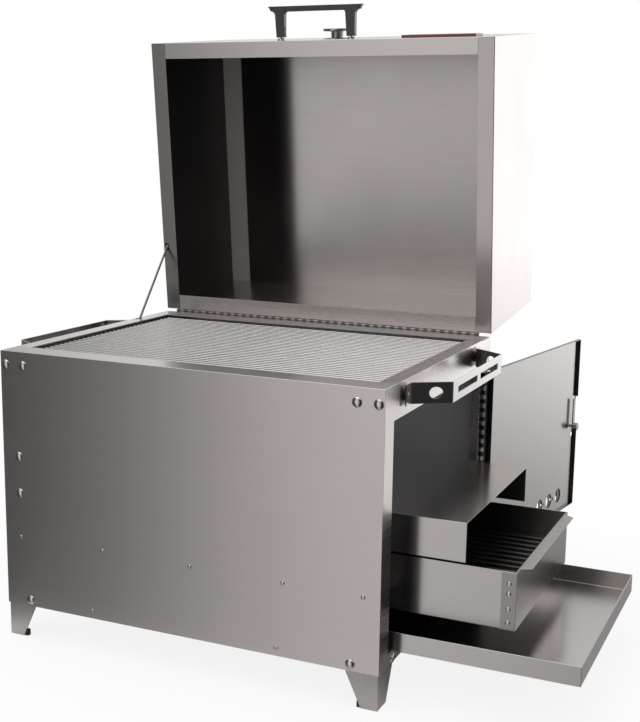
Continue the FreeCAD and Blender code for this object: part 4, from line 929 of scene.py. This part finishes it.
def add_world():
    """White to the camera. Steel sees a bright ceiling, a bright room behind that fades to the ground, a
    lighter patch in front and dark sides."""
    world = bpy.data.worlds.new("studio")
    bpy.context.scene.world = world
    world.use_nodes = True
    build = Tree(world.node_tree)
    back = world.node_tree.nodes["Background"]
    back.inputs["Color"].default_value = (1, 1, 1, 1)
    back.inputs["Strength"].default_value = DIFFUSE_LIGHT
    right, behind, up = build.axes(build.node("ShaderNodeTexCoord").outputs["Generated"])
    left = build.math("MULTIPLY", right, -1.0)
    front = build.math("MULTIPLY", behind, -1.0)
    turn = build.math("ARCTAN2", left, front)
    share = build.math("ADD", build.math("DIVIDE", turn, 2 * math.pi), 0.5)
    ramp = build.node("ShaderNodeValToRGB")
    ramp.color_ramp.interpolation = "EASE"
    stops = ramp.color_ramp.elements
    while len(stops) > 1:
        stops.remove(stops[-1])
    for index, (degrees, light) in enumerate(ROOM_LIGHT):
        stop = stops[0] if index == 0 else stops.new(degrees / 360 + 0.5)
        stop.position = degrees / 360 + 0.5
        level = light / ROOM_PEAK
        stop.color = (level, level, level, 1)
    build.join(share, ramp.inputs[0])
    low_behind = build.mix_value(build.rise(up, *GROUND_FADE), GROUND_SHARE, 1.0)
    low_front = build.mix_value(build.rise(up, *FRONT_FADE), FRONT_SHARE, 1.0)
    fade = build.mix_value(build.rise(behind, 0.0, 0.2), low_front, low_behind)
    level = build.math("MULTIPLY", build.math("MULTIPLY", ramp.outputs[0], ROOM_PEAK), fade)
    level = build.mix_value(build.rise(up, *CEILING_EDGE), level, CEILING_LIGHT)
    room = build.node("ShaderNodeBackground")
    build.join(level, room.inputs["Strength"])
    white = build.node("ShaderNodeBackground")
    white.inputs["Color"].default_value = (1, 1, 1, 1)
    path = build.node("ShaderNodeLightPath")
    reflected = build.node("ShaderNodeMixShader")
    seen = build.node("ShaderNodeMixShader")
    build.join(path.outputs["Is Glossy Ray"], reflected.inputs[0])
    build.join(back.outputs[0], reflected.inputs[1])
    build.join(room.outputs[0], reflected.inputs[2])
    straight = build.math("ADD", path.outputs["Is Camera Ray"], path.outputs["Is Transmission Ray"],
                          clamp=True)
    build.join(straight, seen.inputs[0])
    build.join(reflected.outputs[0], seen.inputs[1])
    build.join(white.outputs[0], seen.inputs[2])
    build.join(seen.outputs[0], world.node_tree.nodes["World Output"].inputs["Surface"])


def add_lamp(name, place, aim, size, power):
    data = bpy.data.lights.new(name, "AREA")
    data.shape = "RECTANGLE"
    data.size, data.size_y = size
    data.energy = power
    lamp = bpy.data.objects.new(name, data)
    bpy.context.scene.collection.objects.link(lamp)
    place, aim = at(*place), at(*aim)
    turn = (aim - place).to_track_quat("-Z", "Y").to_matrix().to_4x4()
    lamp.matrix_world = Matrix.Translation(place) @ turn


# How bright the room looks from the steel, by degrees from the front towards the left: 180 is behind
ROOM_PEAK = 3.0
ROOM_LIGHT = (
    (-180, 1.3), (-172, 2.1), (-165, 3.0), (-158, 2.6), (-149, 1.9), (-137, 1.4), (-95, 0.6), (-60, 0.06),
    (-18, 0.02), (0, 0.5), (10, 1.0), (16, 1.25), (21, 1.35), (25, 1.3), (29, 0.85), (33, 0.44), (36, 0.22),
    (39, 0.07), (80, 0.2), (125, 0.5), (140, 0.95), (148, 1.4), (160, 1.15), (180, 1.3),
)
# By the height of a direction, from -1 straight down to 1 straight up
GROUND_FADE = (-0.36, -0.06)
GROUND_SHARE = 0.20
FRONT_FADE = (-0.45, -0.20)
FRONT_SHARE = 0.75
CEILING_EDGE = (0.50, 0.75)
CEILING_LIGHT = 1.2
DIFFUSE_LIGHT = 0.75
FLOOR_WHITENING = 0.87
FLOOR_EDGE = 100 * MM
SHADOW_EDGE = 0.7

add_floor()
add_world()
add_lamp("soft_top", (-300, -500, 2800), (0, 0, 300), (2.4, 2.4), 26)
add_camera()
bpy.context.scene.view_settings.view_transform = "Standard"
